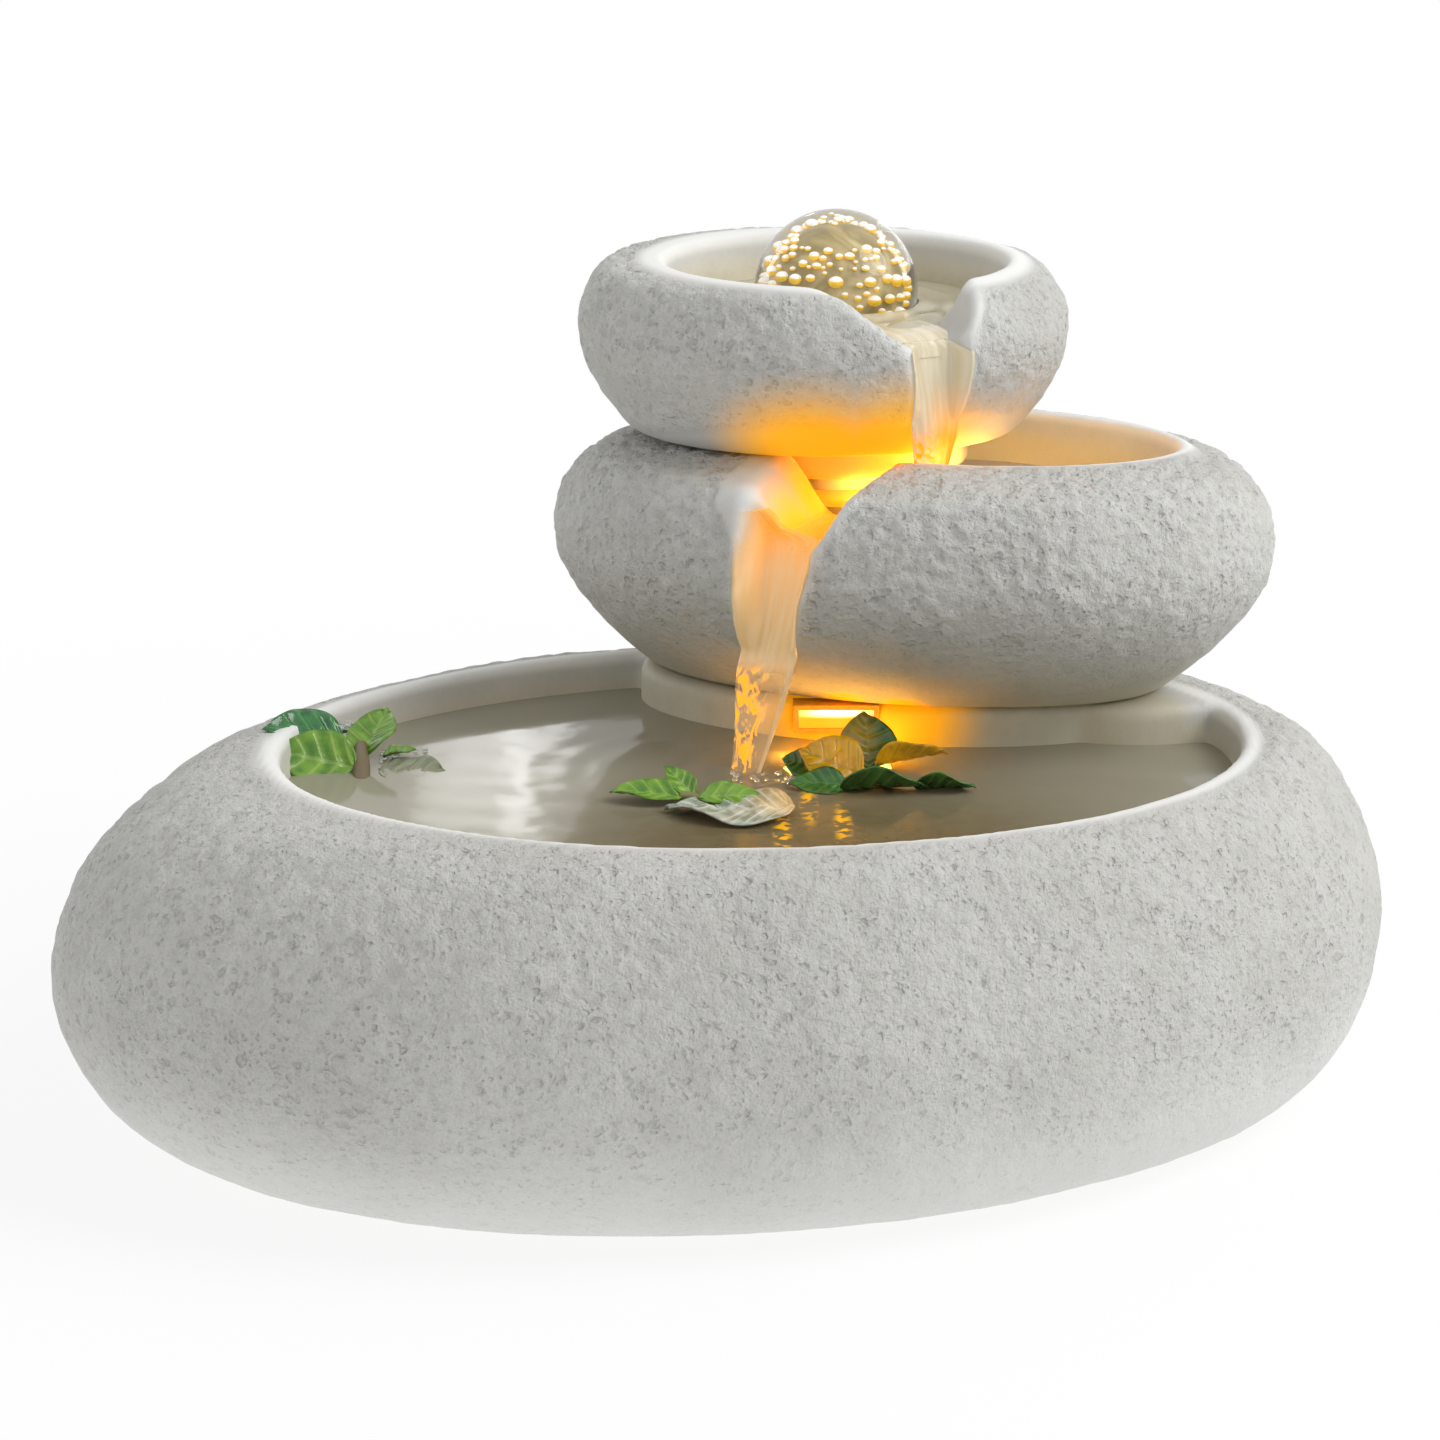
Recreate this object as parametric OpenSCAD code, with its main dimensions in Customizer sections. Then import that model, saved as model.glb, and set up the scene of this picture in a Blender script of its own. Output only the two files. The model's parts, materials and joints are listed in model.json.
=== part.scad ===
// Tabletop water fountain: three cast stone pebbles stacked on each other.
// The basin holds the water and the pump, the middle and the top bowl lift
// off, and a glass ball spins on the jet in the top bowl.
// Millimetres. +Z is up, the front faces -Y, the origin is under the basin.

/* [Basin] */
// Long axis of the basin's oval
basin_l = 280; // [270:1:300]
// Short axis of the basin's oval
basin_w = 198.6; // [196:0.1:215]
// Height of the casting, without its feet
basin_h = 75.8; // [74:0.1:90]
// Height of the widest line above the casting's underside
basin_belly = 36; // [28:1:42]
// Turn of the oval, seen from above
basin_turn = 16; // [8:1:20]
// Long axis of the flat underside
basin_sole_l = 226; // [200:1:240]
// Short axis of the flat underside
basin_sole_w = 157; // [140:1:165]
// Long axis of the oval where the lip starts
basin_lip_l = 209; // [206:1:220]
// Short axis of the oval where the lip starts
basin_lip_w = 156; // [155:1:165]
// Long axis of the pool's mouth
pool_l = 198; // [190:1:200]
// Short axis of the pool's mouth
pool_w = 143.4; // [138:0.1:146]
// Turn of the pool's mouth, seen from above
pool_turn = 7; // [4:1:12]
// Depth of the pool
pool_depth = 40; // [30:1:45]
// How far the pool's wall leans in on its way down
pool_lean = 9; // [6:1:14]

/* [Pump block of the basin] */
// Long axis of the raised block that carries the middle bowl
block_l = 112; // [108:1:116]
// Short axis of the block
block_w = 60; // [58:1:64]
// Turn of the block's oval
block_turn = -12; // [-15:1:-8]
// Long axis of the shoulder that joins the block to the basin's right rim
shoulder_l = 62; // [56:1:66]
// Short axis of the shoulder
shoulder_w = 53; // [50:1:56]
// Width of the pump well
well_w = 32; // [31:1:34]
// Depth of the pump well
well_depth = 43; // [42:1:50]
// Width of the gate from the pool into the well
gate_w = 20; // [14:1:22]
// Height of the gate
gate_h = 24; // [16:1:30]

/* [Middle bowl] */
// Long axis of the middle bowl's oval
middle_l = 155; // [150:1:160]
// Short axis of the middle bowl's oval
middle_w = 114.4; // [110:0.1:117]
// Height of the middle bowl
middle_h = 53; // [48:1:60]
// Height of its widest line above its underside
middle_belly = 32.7; // [24:0.1:36]
// Turn of its oval, seen from above
middle_turn = -15.7; // [-20:0.1:-10]
// Long axis of its flat underside
middle_sole_l = 112; // [100:1:116]
// Short axis of its flat underside
middle_sole_w = 57.4; // [50:0.1:64]
// Long axis of the pool in its top
middle_pool_l = 106; // [100:1:108]
// Short axis of the pool in its top
middle_pool_w = 57; // [54:1:60]
// Depth of the pool in its top
middle_pool_depth = 22; // [20:1:26]
// Depth of the spout's sill below the rim
middle_sill = 13; // [8:0.5:15]
// Depth of the groove that leads the water down the outside
middle_groove = 12; // [6:0.5:13]

/* [Top bowl] */
// Long axis of the top bowl's oval
top_l = 104; // [100:1:108]
// Short axis of the top bowl's oval
top_w = 91.6; // [88:0.1:96]
// Height of the top bowl above its seat
top_h = 36.5; // [34:0.5:42]
// Height of its widest line above its seat
top_belly = 23.6; // [18:0.1:27]
// Depth of the keel that drops into the middle pool
keel_depth = 8; // [5:0.5:9]
// Long axis of the keel
keel_l = 54; // [44:1:56]
// Short axis of the keel
keel_w = 40; // [34:1:42]
// Long axis of the pool in its top
top_pool_l = 72.8; // [70:0.1:76]
// Short axis of the pool in its top
top_pool_w = 66.6; // [64:0.1:70]
// Depth of the pool in its top
top_pool_depth = 28; // [24:1:30]
// Depth of the spout's sill below the rim
top_sill = 11.5; // [7:0.5:13]
// Depth of the groove that leads the water down the outside
top_groove = 7; // [4:0.5:8]

/* [Ball and water way] */
// Diameter of the glass ball
ball_d = 34.6; // [30:0.1:36]
// Gap between the ball and its seat
ball_gap = 0.3; // [0.2:0.05:0.5]
// Inner diameter of the water way
way_d = 5; // [4:0.5:6]
// Outer diameter of the spigots
spigot_d = 8; // [7.5:0.1:9]
// Outer diameter of the soft riser tube
tube_d = 11; // [11:0.5:13]
// Outer diameter of the pipe in the middle bowl
pipe_d = 12; // [11:0.5:14]

/* [Pump] */
// Length of the motor housing
pump_l = 41; // [41:1:44]
// Width of the pump
pump_w = 28; // [27:0.5:29]
// Height of the pump
pump_h = 27; // [26:0.5:28]
// Wall of the pump's mouldings
pump_wall = 1.8; // [1.4:0.1:2.2]
// Diameter of the impeller
impeller_d = 17; // [14:0.5:18]
// Blades on the impeller
blade_count = 6; // [4:1:8]
// Diameter of the rotor magnet
magnet_d = 9.4; // [8:0.1:10]
// Diameter of the rotor's ceramic shaft
shaft_d = 2; // [1.5:0.1:2.5]
// Slots in the intake cover
slot_count = 7; // [5:1:9]

/* [Lights] */
// Diameter of the underwater light
puck_d = 22; // [18:0.5:24]
// Height of the underwater light
puck_h = 7; // [6:0.5:8]
// Length of the lamp under the middle bowl
lamp_l = 18; // [14:1:22]
// Height of the lamp under the middle bowl
lamp_h = 6; // [5:0.5:8]
// Diodes in the lamp under the middle bowl
lamp_diodes = 3; // [2:1:4]
// Diameter of the light's wires
wire_d = 2.4; // [2:0.1:3]

/* [Feet and fits] */
// How far the rubber feet stand below the casting
foot_h = 2; // [1:0.5:4]
// Diameter of the rubber feet
foot_d = 16; // [12:1:20]
// Gap between a bowl and what it stands on
seat_gap = 0.3; // [0.2:0.05:0.4]
// Radial gap of pushed-together parts
fit_gap = 0.1; // [0.05:0.05:0.15]
// Radial gap of the turning parts
run_gap = 0.08; // [0.05:0.01:0.1]
// Diameter of the cord's hole in the basin's back
cord_hole_d = 10; // [8:0.5:12]
// Diameter of the cord that the grommet takes
cord_d = 4.6; // [4:0.1:5.5]

/* [Hidden] */
whole_turn = 360;

// Heights
basin_z = foot_h;
rim_z = basin_z + basin_h;
floor_z = rim_z - pool_depth;
middle_z = rim_z + seat_gap;
middle_rim_z = middle_z + middle_h;
middle_floor_z = middle_rim_z - middle_pool_depth;
top_z = middle_rim_z + seat_gap;
top_rim_z = top_z + top_h;
top_floor_z = top_rim_z - top_pool_depth;
keel_z = top_z - keel_depth;

// The water way rises on one vertical axis, under the ball
way_x = 22.5;
way_y = 50;

// An oval is [half length, half width, centre x, centre y, turn, height]
basin_sole = [basin_sole_l / 2, basin_sole_w / 2, 5.5, 1, basin_turn, basin_z];
basin_wide = [basin_l / 2, basin_w / 2, 0, 0, basin_turn, basin_z + basin_belly];
basin_lip = [basin_lip_l / 2, basin_lip_w / 2, 7, -2.2, basin_turn, rim_z - 0.8];
pool_mouth = [pool_l / 2, pool_w / 2, 7, -1.8, pool_turn, rim_z];

// The block under the middle bowl, and the shoulder beside it
block = [block_l / 2, block_w / 2, 36, 49.5, block_turn, 0];
shoulder = [shoulder_l / 2, shoulder_w / 2, 86, 46, 0, 0];

middle_sole = [middle_sole_l / 2, middle_sole_w / 2, 37.3, 50, middle_turn, middle_z];
middle_wide = [middle_l / 2, middle_w / 2, 38.5, 43.9, middle_turn, middle_z + middle_belly];
middle_lip = [61, 45, 39, 38, middle_turn, middle_rim_z - 2];
middle_mouth = [middle_pool_l / 2, middle_pool_w / 2, 42.9, 45.5, middle_turn, middle_rim_z];

// The top bowl's lower wall is the upper part of a quarter that starts below its seat
top_under = [32, 25, 19.7, 57, -3.5, top_z - keel_depth];
top_wide = [top_l / 2, top_w / 2, 20, 50.3, -3.5, top_z + top_belly];
top_lip = [43.6, 40.8, 18.8, 52.3, -3.5, top_rim_z - 1];
top_mouth = [top_pool_l / 2, top_pool_w / 2, 22.4, 49.5, -3.5, top_rim_z];
keel = [keel_l / 2, keel_w / 2, 24, 50, -3.5, top_z];

// ---- Lofted pebbles -------------------------------------------------------

function mix(a, b, w) = a + (b - a) * w;
function smooth(x) = let (k = min(1, max(0, x))) k * k * (3 - 2 * k);

// A point of an oval, at an angle counted from +X
function oval_point(o, t) = let (c = cos(t - o[4]), s = sin(t - o[4]))
  [o[2] + o[0] * c * cos(o[4]) - o[1] * s * sin(o[4]),
   o[3] + o[0] * c * sin(o[4]) + o[1] * s * cos(o[4]), o[5]];

// The oval between two others: w along the plan, h along the height
function between(a, b, w, h) =
  [for (i = [0:4]) mix(a[i], b[i], w), mix(a[5], b[5], h)];

// An oval moved in by an amount and set at a height
function inset(o, d, z) = [o[0] - d, o[1] - d, o[2], o[3], o[4], z];

// Quarter curves from a flat sole to the widest line, and on to the lip.
// Each station is [oval, share of the spout's chute]
function lower_wall(a, b, p, q, from, n) = [for (i = [0:n])
  let (k = 90 * mix(from, 1, i / n)) [between(a, b, pow(sin(k), p), pow(1 - cos(k), q)), 1]];
function upper_wall(a, b, p, q, n) = [for (i = [1:n])
  let (k = 90 * i / n, w = pow(1 - cos(k), p)) [between(a, b, w, pow(sin(k), q)), 1 - w]];

// From the lip over the rounded edge, and down the wall of the pool to its floor
function pool_wall(lip, mouth, depth, lean, n) = concat(
  [[between(lip, mouth, 0.55, 0.9), 0], [mouth, 0]],
  [for (i = [1:n]) let (k = i / n)
    [inset(mouth, lean * (0.12 + 0.5 * k + 0.38 * pow(k, 6)), mouth[5] - depth * (1 - pow(1 - k, 1.25)) ), 0]]);

// Angles of the samples: closer together round the spout
function sample_angles(n, middle, bunch) = [for (i = [0:n - 1])
  let (a = whole_turn * i / n - whole_turn / 2) middle + a - bunch * sin(a)];

// A spout is [axis x, axis y, direction, sill z, rim z, half floor, reach left, reach right,
// chute distance from the axis, chute half width, chute end z, wall rise, taper, chute shift].
// The chute's floor is upright and ends where the pebble curves in under it. It narrows on its way
// down: with a positive taper its right edge comes in, with a negative one its left edge
function spout_offset(s, p) = let (d = [cos(s[2]), sin(s[2])], r = [p[0] - s[0], p[1] - s[1]])
  [r[0] * -d[1] + r[1] * d[0], r[0] * d[0] + r[1] * d[1]];
function sill_at(s, u) = let (reach = u < 0 ? s[6] : s[7])
  s[3] + (s[4] + 0.5 - s[3]) * smooth((abs(u) - s[5]) / (reach - s[5]));
function chute_at(s, u, z) = let (up = min(1, max(0, (z - s[10]) / (s[3] - s[10]))),
    half = s[9] * (1 - abs(s[12]) * (1 - up)), centre = s[13] - sign(s[12]) * (s[9] - half))
  s[8] + s[11] * smooth((abs(u - centre) - half * 0.5) / (half * 0.5));
function cut_spout(s, p, share) = len(s) == 0 ? p :
  let (us = spout_offset(s, p)) us[1] < 0 ? p :
  let (g = share * max(0, us[1] - chute_at(s, us[0], p[2])))
  [p[0] - g * cos(s[2]), p[1] - g * sin(s[2]), min(p[2], sill_at(s, us[0]))];

// A closed skin through all stations, with a fan over both ends
module loft(stations, angles, spout) {
  n = len(angles);
  m = len(stations);
  rings = [for (st = stations, t = angles) cut_spout(spout, oval_point(st[0], t), st[1])];
  first = stations[0][0];
  last = stations[m - 1][0];
  points = concat(rings, [[first[2], first[3], first[5]], [last[2], last[3], last[5]]]);
  sides = [for (j = [0:m - 2], i = [0:n - 1]) let (k = (i + 1) % n)
    each [[j * n + i, (j + 1) * n + i, (j + 1) * n + k], [j * n + i, (j + 1) * n + k, j * n + k]]];
  sole = [for (i = [0:n - 1]) [m * n, i, (i + 1) % n]];
  floor = [for (i = [0:n - 1]) [m * n + 1, (m - 1) * n + (i + 1) % n, (m - 1) * n + i]];
  polyhedron(points = points, faces = concat(sides, sole, floor));
}

// An upright oval plug
module oval_plug(o, z0, z1, n = 56) {
  pts = [for (i = [0:n - 1]) let (p = oval_point(o, whole_turn * i / n)) [p[0], p[1]]];
  translate([0, 0, z0]) linear_extrude(z1 - z0) polygon(pts);
}

// A block with rounded upright edges, from its low corner to its high corner
module soft_block(lo, hi, r) {
  translate([lo[0], lo[1], lo[2]]) linear_extrude(hi[2] - lo[2])
    rounded_plan(hi[0] - lo[0], hi[1] - lo[1], r);
}
module rounded_plan(l, w, r) {
  translate([r, 0]) square([l - 2 * r, w]);
  translate([0, r]) square([l, w - 2 * r]);
  for (x = [r, l - r], y = [r, w - r]) translate([x, y]) circle(r = r, $fn = 32);
}

// A cylinder along +X
module rod_x(d, x0, x1, fn = 48) {
  translate([x0, 0, 0]) rotate([0, 90, 0]) cylinder(d = d, h = x1 - x0, $fn = fn);
}

// ---- Places ---------------------------------------------------------------

// Spouts: where each bowl lets its water fall to the tier below
middle_axis = [32.4, 41.6];
top_axis = [22.4, 49];
middle_way = -112;
top_way = -63;
middle_spout = [middle_axis[0], middle_axis[1], middle_way, middle_rim_z - middle_sill, middle_rim_z, 3, 14.5, 12,
  middle_wide[1] - 4.4 - middle_groove, 9.1, middle_z + 13.5, middle_groove + 2, 0.43, -4.4];
top_spout = [top_axis[0], top_axis[1], top_way, top_rim_z - top_sill, top_rim_z, 4.5, 22, 14.5,
  top_wide[1] - 1 - top_groove, 7.5, top_z + 7, top_groove + 2, -0.24, 0.6];
// Samples round a casting, the direction they gather at and how strongly they gather
plain_samples = 60;
spout_samples = 88;
middle_gather = middle_way - 6;
top_gather = top_way - 5;
gather = 42;

// Pump, laid along +X in its well, its outlet under the water way
chamber_t = 8.2;
cups_h = 5;
well_z = rim_z - well_depth;
pump_bottom = well_z + cups_h;
pump_z = pump_bottom + pump_h / 2;
chamber_x0 = way_x - chamber_t / 2;
chamber_x1 = way_x + chamber_t / 2;
cover_depth = 7.5;
cover_travel = 5;
dial_d = 11;
dial_t = 1.6;
dial_pin_d = 3;
volute_x0 = chamber_x0 - pump_wall;
cover_x0 = volute_x0 - cover_depth;
pump_x1 = chamber_x1 + pump_l;
well_x0 = cover_x0 - cover_travel - 0.6;
well_x1 = pump_x1 + 3;
seal_d = 1.2;
seal_r = impeller_d / 2 + 3;
seal_x = chamber_x1 + seal_d / 2 - 0.05;
cup_xs = [chamber_x1 + 7, pump_x1 - 7];
cup_ys = [way_y - pump_w / 2 + 6, way_y + pump_w / 2 - 6];
stud_d = 3;
boss_h = 2.6;
nipple_top = pump_bottom + pump_h + 5;

// Rotor
rotor_gap = 0.5;
tube_wall = 0.8;
rotor_bore = magnet_d + 2 * rotor_gap;
rotor_tube_l = 21;
magnet_l = 15;
hub_d = 6;
bush_d = 4;
bush_l = 2.4;
disc_t = 1;
blade_h = 5.4;
rotor_x0 = chamber_x0 + 1;
rotor_x1 = rotor_x0 + blade_h;
magnet_x0 = chamber_x1 + 2.2;
tube_x1 = chamber_x1 + rotor_tube_l;
shaft_x0 = volute_x0 + 0.3;
shaft_x1 = tube_x1 - 0.9;

// Stator
core_t = 10;
core_x0 = chamber_x1 + pump_wall + 1;
arm_w = 4;
arm_h = 9;
core_half = pump_w / 2 - pump_wall - 0.5;
coil_d = 14.5;
coil_x = tube_x1 + 1 + coil_d / 2;

// Lights
puck_x = way_x + 21.5;
puck_y = way_y - 9.5;
puck_wall = 1.5;
lens_t = 1.8;
board_t = 1.2;
plug_d = 8.8;
plug_in = 4;
plug_out = 5;
socket_d = plug_d + 2.6;
pin_d = 1.4;
pin_pitch = 3.6;
contact_d = 2.4;
lamp_x = way_x;
lamp_y0 = 22.3;
lamp_depth = 6;
lamp_z1 = rim_z - 0.2;
lamp_z0 = lamp_z1 - lamp_h;
lamp_wire_x = lamp_x + lamp_l / 2 - 3;
lamp_wire_y = way_y - pump_w / 2 + 3.5;
lamp_wire_z = (lamp_z0 + lamp_z1) / 2;

// Riser parts
boss_d = pipe_d + 8;
boss_top = keel_z - seat_gap;
socket_depth = 8;
spigot_l = socket_depth - 1;
tube_spigot_l = 5.5;
ball_z = top_floor_z + ball_d / 2 + 3.2;
cup_d = ball_d * 0.636;
cup_top = ball_z - sqrt(pow(ball_d / 2 + ball_gap, 2) - pow(cup_d / 2 - 1, 2));
ring_d = 1;

// Cord's way out of the well, feet and gate
cord_x = way_x + 20;
cord_z = floor_z + 8;
spot_y = basin_w / 2 - 2.3;
flange_d = cord_hole_d + 4.5;
flange_t = 2;
grommet_l = 11;
foot_sink = 2;
sole_turn = basin_turn;
feet = [for (x = [-1, 1], y = [-1, 1])
  [basin_sole[2] + x * 0.66 * basin_sole[0] * cos(sole_turn) - y * 0.5 * basin_sole[1] * sin(sole_turn),
   basin_sole[3] + x * 0.66 * basin_sole[0] * sin(sole_turn) + y * 0.5 * basin_sole[1] * cos(sole_turn)]];
gate_x0 = -26;
sponge_l = 12;
sponge_x1 = well_x0 - 2;

// ---- Castings -------------------------------------------------------------

module basin() {
  color("#cdc9c1") difference() {
    union() {
      loft(concat(lower_wall(basin_sole, basin_wide, 0.98, 0.99, 0, 9),
        upper_wall(basin_wide, basin_lip, 0.84, 1.03, 8),
        pool_wall(basin_lip, pool_mouth, pool_depth, pool_lean, 5)),
        sample_angles(plain_samples, 0, 0), []);
      intersection() {
        for (o = [block, shoulder]) oval_plug(o, floor_z - 3, rim_z);
        oval_plug(inset(basin_lip, 1.2, 0), floor_z - 4, rim_z + 1);
      }
    }
    soft_block([well_x0, way_y - well_w / 2, well_z], [well_x1, way_y + well_w / 2, rim_z + 1], 3);
    translate([gate_x0, way_y - gate_w / 2, floor_z])
      cube([well_x0 - gate_x0 + 4, gate_w, gate_h]);
    translate([lamp_x - lamp_l / 2 - fit_gap, lamp_y0 - 6, lamp_z0 - fit_gap])
      cube([lamp_l + 2 * fit_gap, lamp_depth + 6 + fit_gap, lamp_h + 2]);
    translate([lamp_wire_x, lamp_y0, lamp_wire_z]) rotate([-90, 0, 0])
      cylinder(d = wire_d + 0.6, h = way_y - well_w / 2 - lamp_y0 + 2, $fn = 24);
    translate([cord_x, way_y, cord_z]) rotate([-90, 0, 0])
      cylinder(d = cord_hole_d, h = basin_w / 2, $fn = 48);
    translate([cord_x, spot_y, cord_z]) rotate([-90, 0, 0])
      cylinder(d = flange_d + 1, h = 20, $fn = 48);
    for (f = feet) translate([f[0], f[1], -1])
      cylinder(d = foot_d + 0.4, h = foot_h + foot_sink + 1, $fn = 48);
  }
}

module middle_bowl() {
  color("#cdc9c1") difference() {
    union() {
      loft(concat(lower_wall(middle_sole, middle_wide, 1.35, 0.7, 0, 10),
        upper_wall(middle_wide, middle_lip, 0.97, 1.02, 9),
        pool_wall(middle_lip, middle_mouth, middle_pool_depth, 8, 5)),
        sample_angles(spout_samples, middle_gather, gather), middle_spout);
      translate([way_x, way_y, middle_floor_z - 2])
        cylinder(d = boss_d, h = boss_top - middle_floor_z + 2, $fn = 48);
    }
    translate([way_x, way_y, middle_z - 1]) cylinder(d = pipe_d + 2 * fit_gap, h = middle_h, $fn = 48);
    translate([puck_x, puck_y, middle_z - 1]) cylinder(d = wire_d + 0.6, h = middle_h, $fn = 24);
    translate([puck_x, puck_y, middle_z - 1])
      cylinder(d = plug_d + 2 * fit_gap, h = plug_in + 1, $fn = 48);
  }
}

module top_bowl() {
  seat_part = acos(1 - pow(keel_depth / (keel_depth + top_belly), 1 / 0.71)) / 90;
  color("#cdc9c1") difference() {
    loft(concat([[inset(keel, 3, keel_z), 0], [inset(keel, 0.8, keel_z + 1), 0], [inset(keel, 0, keel_z + 3), 0],
        [keel, 0]],
      lower_wall(top_under, top_wide, 1.19, 0.71, seat_part, 8),
      upper_wall(top_wide, top_lip, 0.81, 1.04, 9),
      pool_wall(top_lip, top_mouth, top_pool_depth, 9, 5)),
      sample_angles(spout_samples, top_gather, gather), top_spout);
    translate([way_x, way_y, keel_z - 1])
      cylinder(d = spigot_d + 2 * fit_gap, h = top_floor_z - keel_z + 2, $fn = 48);
  }
}

// ---- Basin's small parts --------------------------------------------------

module rubber_feet() {
  color("#26272a") for (f = feet) translate([f[0], f[1], 0]) {
    cylinder(d1 = foot_d - 1.2, d2 = foot_d, h = 0.8, $fn = 48);
    translate([0, 0, 0.8]) cylinder(d = foot_d, h = foot_h + foot_sink - 0.8, $fn = 48);
  }
}

module cord_grommet() {
  color("#2b2c2f") translate([cord_x, spot_y, cord_z]) rotate([-90, 0, 0]) difference() {
    union() {
      translate([0, 0, -grommet_l]) cylinder(d = cord_hole_d - 2 * fit_gap, h = grommet_l, $fn = 48);
      cylinder(d = flange_d, h = flange_t, $fn = 48);
    }
    translate([0, 0, -grommet_l - 1]) cylinder(d = cord_d, h = grommet_l + flange_t + 2, $fn = 48);
  }
}

module filter_sponge() {
  color("#3a3f45") translate([sponge_x1 - sponge_l, way_y - gate_w / 2 + 0.3, floor_z + 0.1]) difference() {
    cube([sponge_l, gate_w - 0.6, gate_h - 0.5]);
    for (i = [0:3]) translate([-1, 3 + i * (gate_w - 0.6 - 6) / 3, 2])
      cylinder(d = 2.4, h = gate_h, $fn = 16);
  }
}

// ---- Pump -----------------------------------------------------------------

module on_pump_axis() { translate([0, way_y, pump_z]) children(); }

// A slab of the pump's rounded section, from x0 to x1, thinner all round by a wall
module pump_slab(x0, x1, wall, r = 4) {
  w = pump_w - 2 * wall;
  h = pump_h - 2 * wall;
  on_pump_axis() translate([x0, 0, 0]) rotate([90, 0, 90]) linear_extrude(x1 - x0)
    translate([-w / 2, -h / 2]) rounded_plan(w, h, max(0.6, r - wall));
}

module pump_housing() {
  color("#1d1f22") difference() {
    union() {
      difference() {
        pump_slab(chamber_x1, pump_x1, 0);
        pump_slab(chamber_x1 + pump_wall, pump_x1 + 1, pump_wall);
      }
      on_pump_axis() rod_x(rotor_bore + 2 * tube_wall, chamber_x1, tube_x1);
      for (x = cup_xs, y = cup_ys) translate([x, y, pump_bottom]) cylinder(d = stud_d + 3, h = boss_h, $fn = 32);
    }
    on_pump_axis() rod_x(rotor_bore, chamber_x1 - 1, tube_x1 - bush_l - 0.6);
    on_pump_axis() rod_x(bush_d, chamber_x1, tube_x1 - 0.8);
    on_pump_axis() translate([seal_x, 0, 0]) rotate([0, 90, 0])
      rotate_extrude($fn = 64) translate([seal_r, 0]) circle(d = seal_d + 0.1, $fn = 24);
    for (x = cup_xs, y = cup_ys) translate([x, y, pump_bottom - 1]) cylinder(d = stud_d + 2 * fit_gap, h = 3, $fn = 32);
    translate([lamp_wire_x, lamp_wire_y, pump_bottom + pump_h - pump_wall - 1])
      cylinder(d = wire_d + 0.3, h = pump_wall + 2, $fn = 24);
  }
}

module pump_back() {
  color("#2a2c30") pump_slab(pump_x1 - 2.6, pump_x1 - 0.2, pump_wall + fit_gap);
}

module stator_core() {
  color("#8b8d90") on_pump_axis() {
    difference() {
      translate([core_x0, -core_half, -core_half + 1]) cube([core_t, 2 * core_half, 2 * core_half - 2]);
      rod_x(rotor_bore + 2 * tube_wall + 0.3, core_x0 - 1, core_x0 + core_t + 1);
      for (s = [-1, 1]) translate([core_x0 - 1, -0.6, s * (core_half - 1) - 1.5]) cube([core_t + 2, 1.2, 3]);
    }
    for (s = [-1, 1]) translate([core_x0 + core_t, s > 0 ? core_half - arm_w : -core_half, -arm_h / 2])
      cube([coil_x + 3 - core_x0 - core_t, arm_w, arm_h]);
    translate([coil_x - 3, -core_half + arm_w, -3]) cube([6, 2 * core_half - 2 * arm_w, 6]);
  }
}

module stator_coil() {
  spool = 2 * (core_half - arm_w) - 0.6;
  color("#b5692c") on_pump_axis() translate([coil_x, -spool / 2, 0]) rotate([-90, 0, 0]) difference() {
    union() {
      cylinder(d = coil_d - 2, h = spool, $fn = 48);
      for (z = [0, spool - 1]) translate([0, 0, z]) cylinder(d = coil_d, h = 1, $fn = 48);
    }
    translate([-3.15, -3.15, -1]) cube([6.3, 6.3, spool + 2]);
  }
}

module rotor_shaft() { color("#e9e6df") on_pump_axis() rod_x(shaft_d, shaft_x0, shaft_x1, 32); }

module shaft_bushes() {
  color("#303236") on_pump_axis() for (x = [shaft_x0, shaft_x1 - bush_l + 0.1]) difference() {
    rod_x(bush_d - 0.04, x, x + bush_l - 0.1, 32);
    rod_x(shaft_d + 0.02, x - 1, x + bush_l + 1, 32);
  }
}

module rotor_magnet() {
  color("#3b3c40") on_pump_axis() difference() {
    rod_x(magnet_d, magnet_x0, magnet_x0 + magnet_l);
    rod_x(shaft_d + 2 * run_gap, magnet_x0 - 1, magnet_x0 + magnet_l + 1, 32);
  }
}

module impeller() {
  color("#e4e4e0") on_pump_axis() difference() {
    union() {
      rod_x(hub_d, rotor_x0 + 1.6, magnet_x0);
      rod_x(impeller_d - 1, rotor_x1, rotor_x1 + disc_t);
      for (i = [0:blade_count - 1]) rotate([i * whole_turn / blade_count, 0, 0])
        translate([rotor_x0 + 1.6, -0.6, hub_d / 2 - 0.6])
          cube([blade_h - 1.6 + 0.1, 1.2, impeller_d / 2 - hub_d / 2 + 0.4]);
    }
    rod_x(shaft_d + 2 * run_gap, rotor_x0 - 1, magnet_x0 + 1, 32);
  }
}

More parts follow.
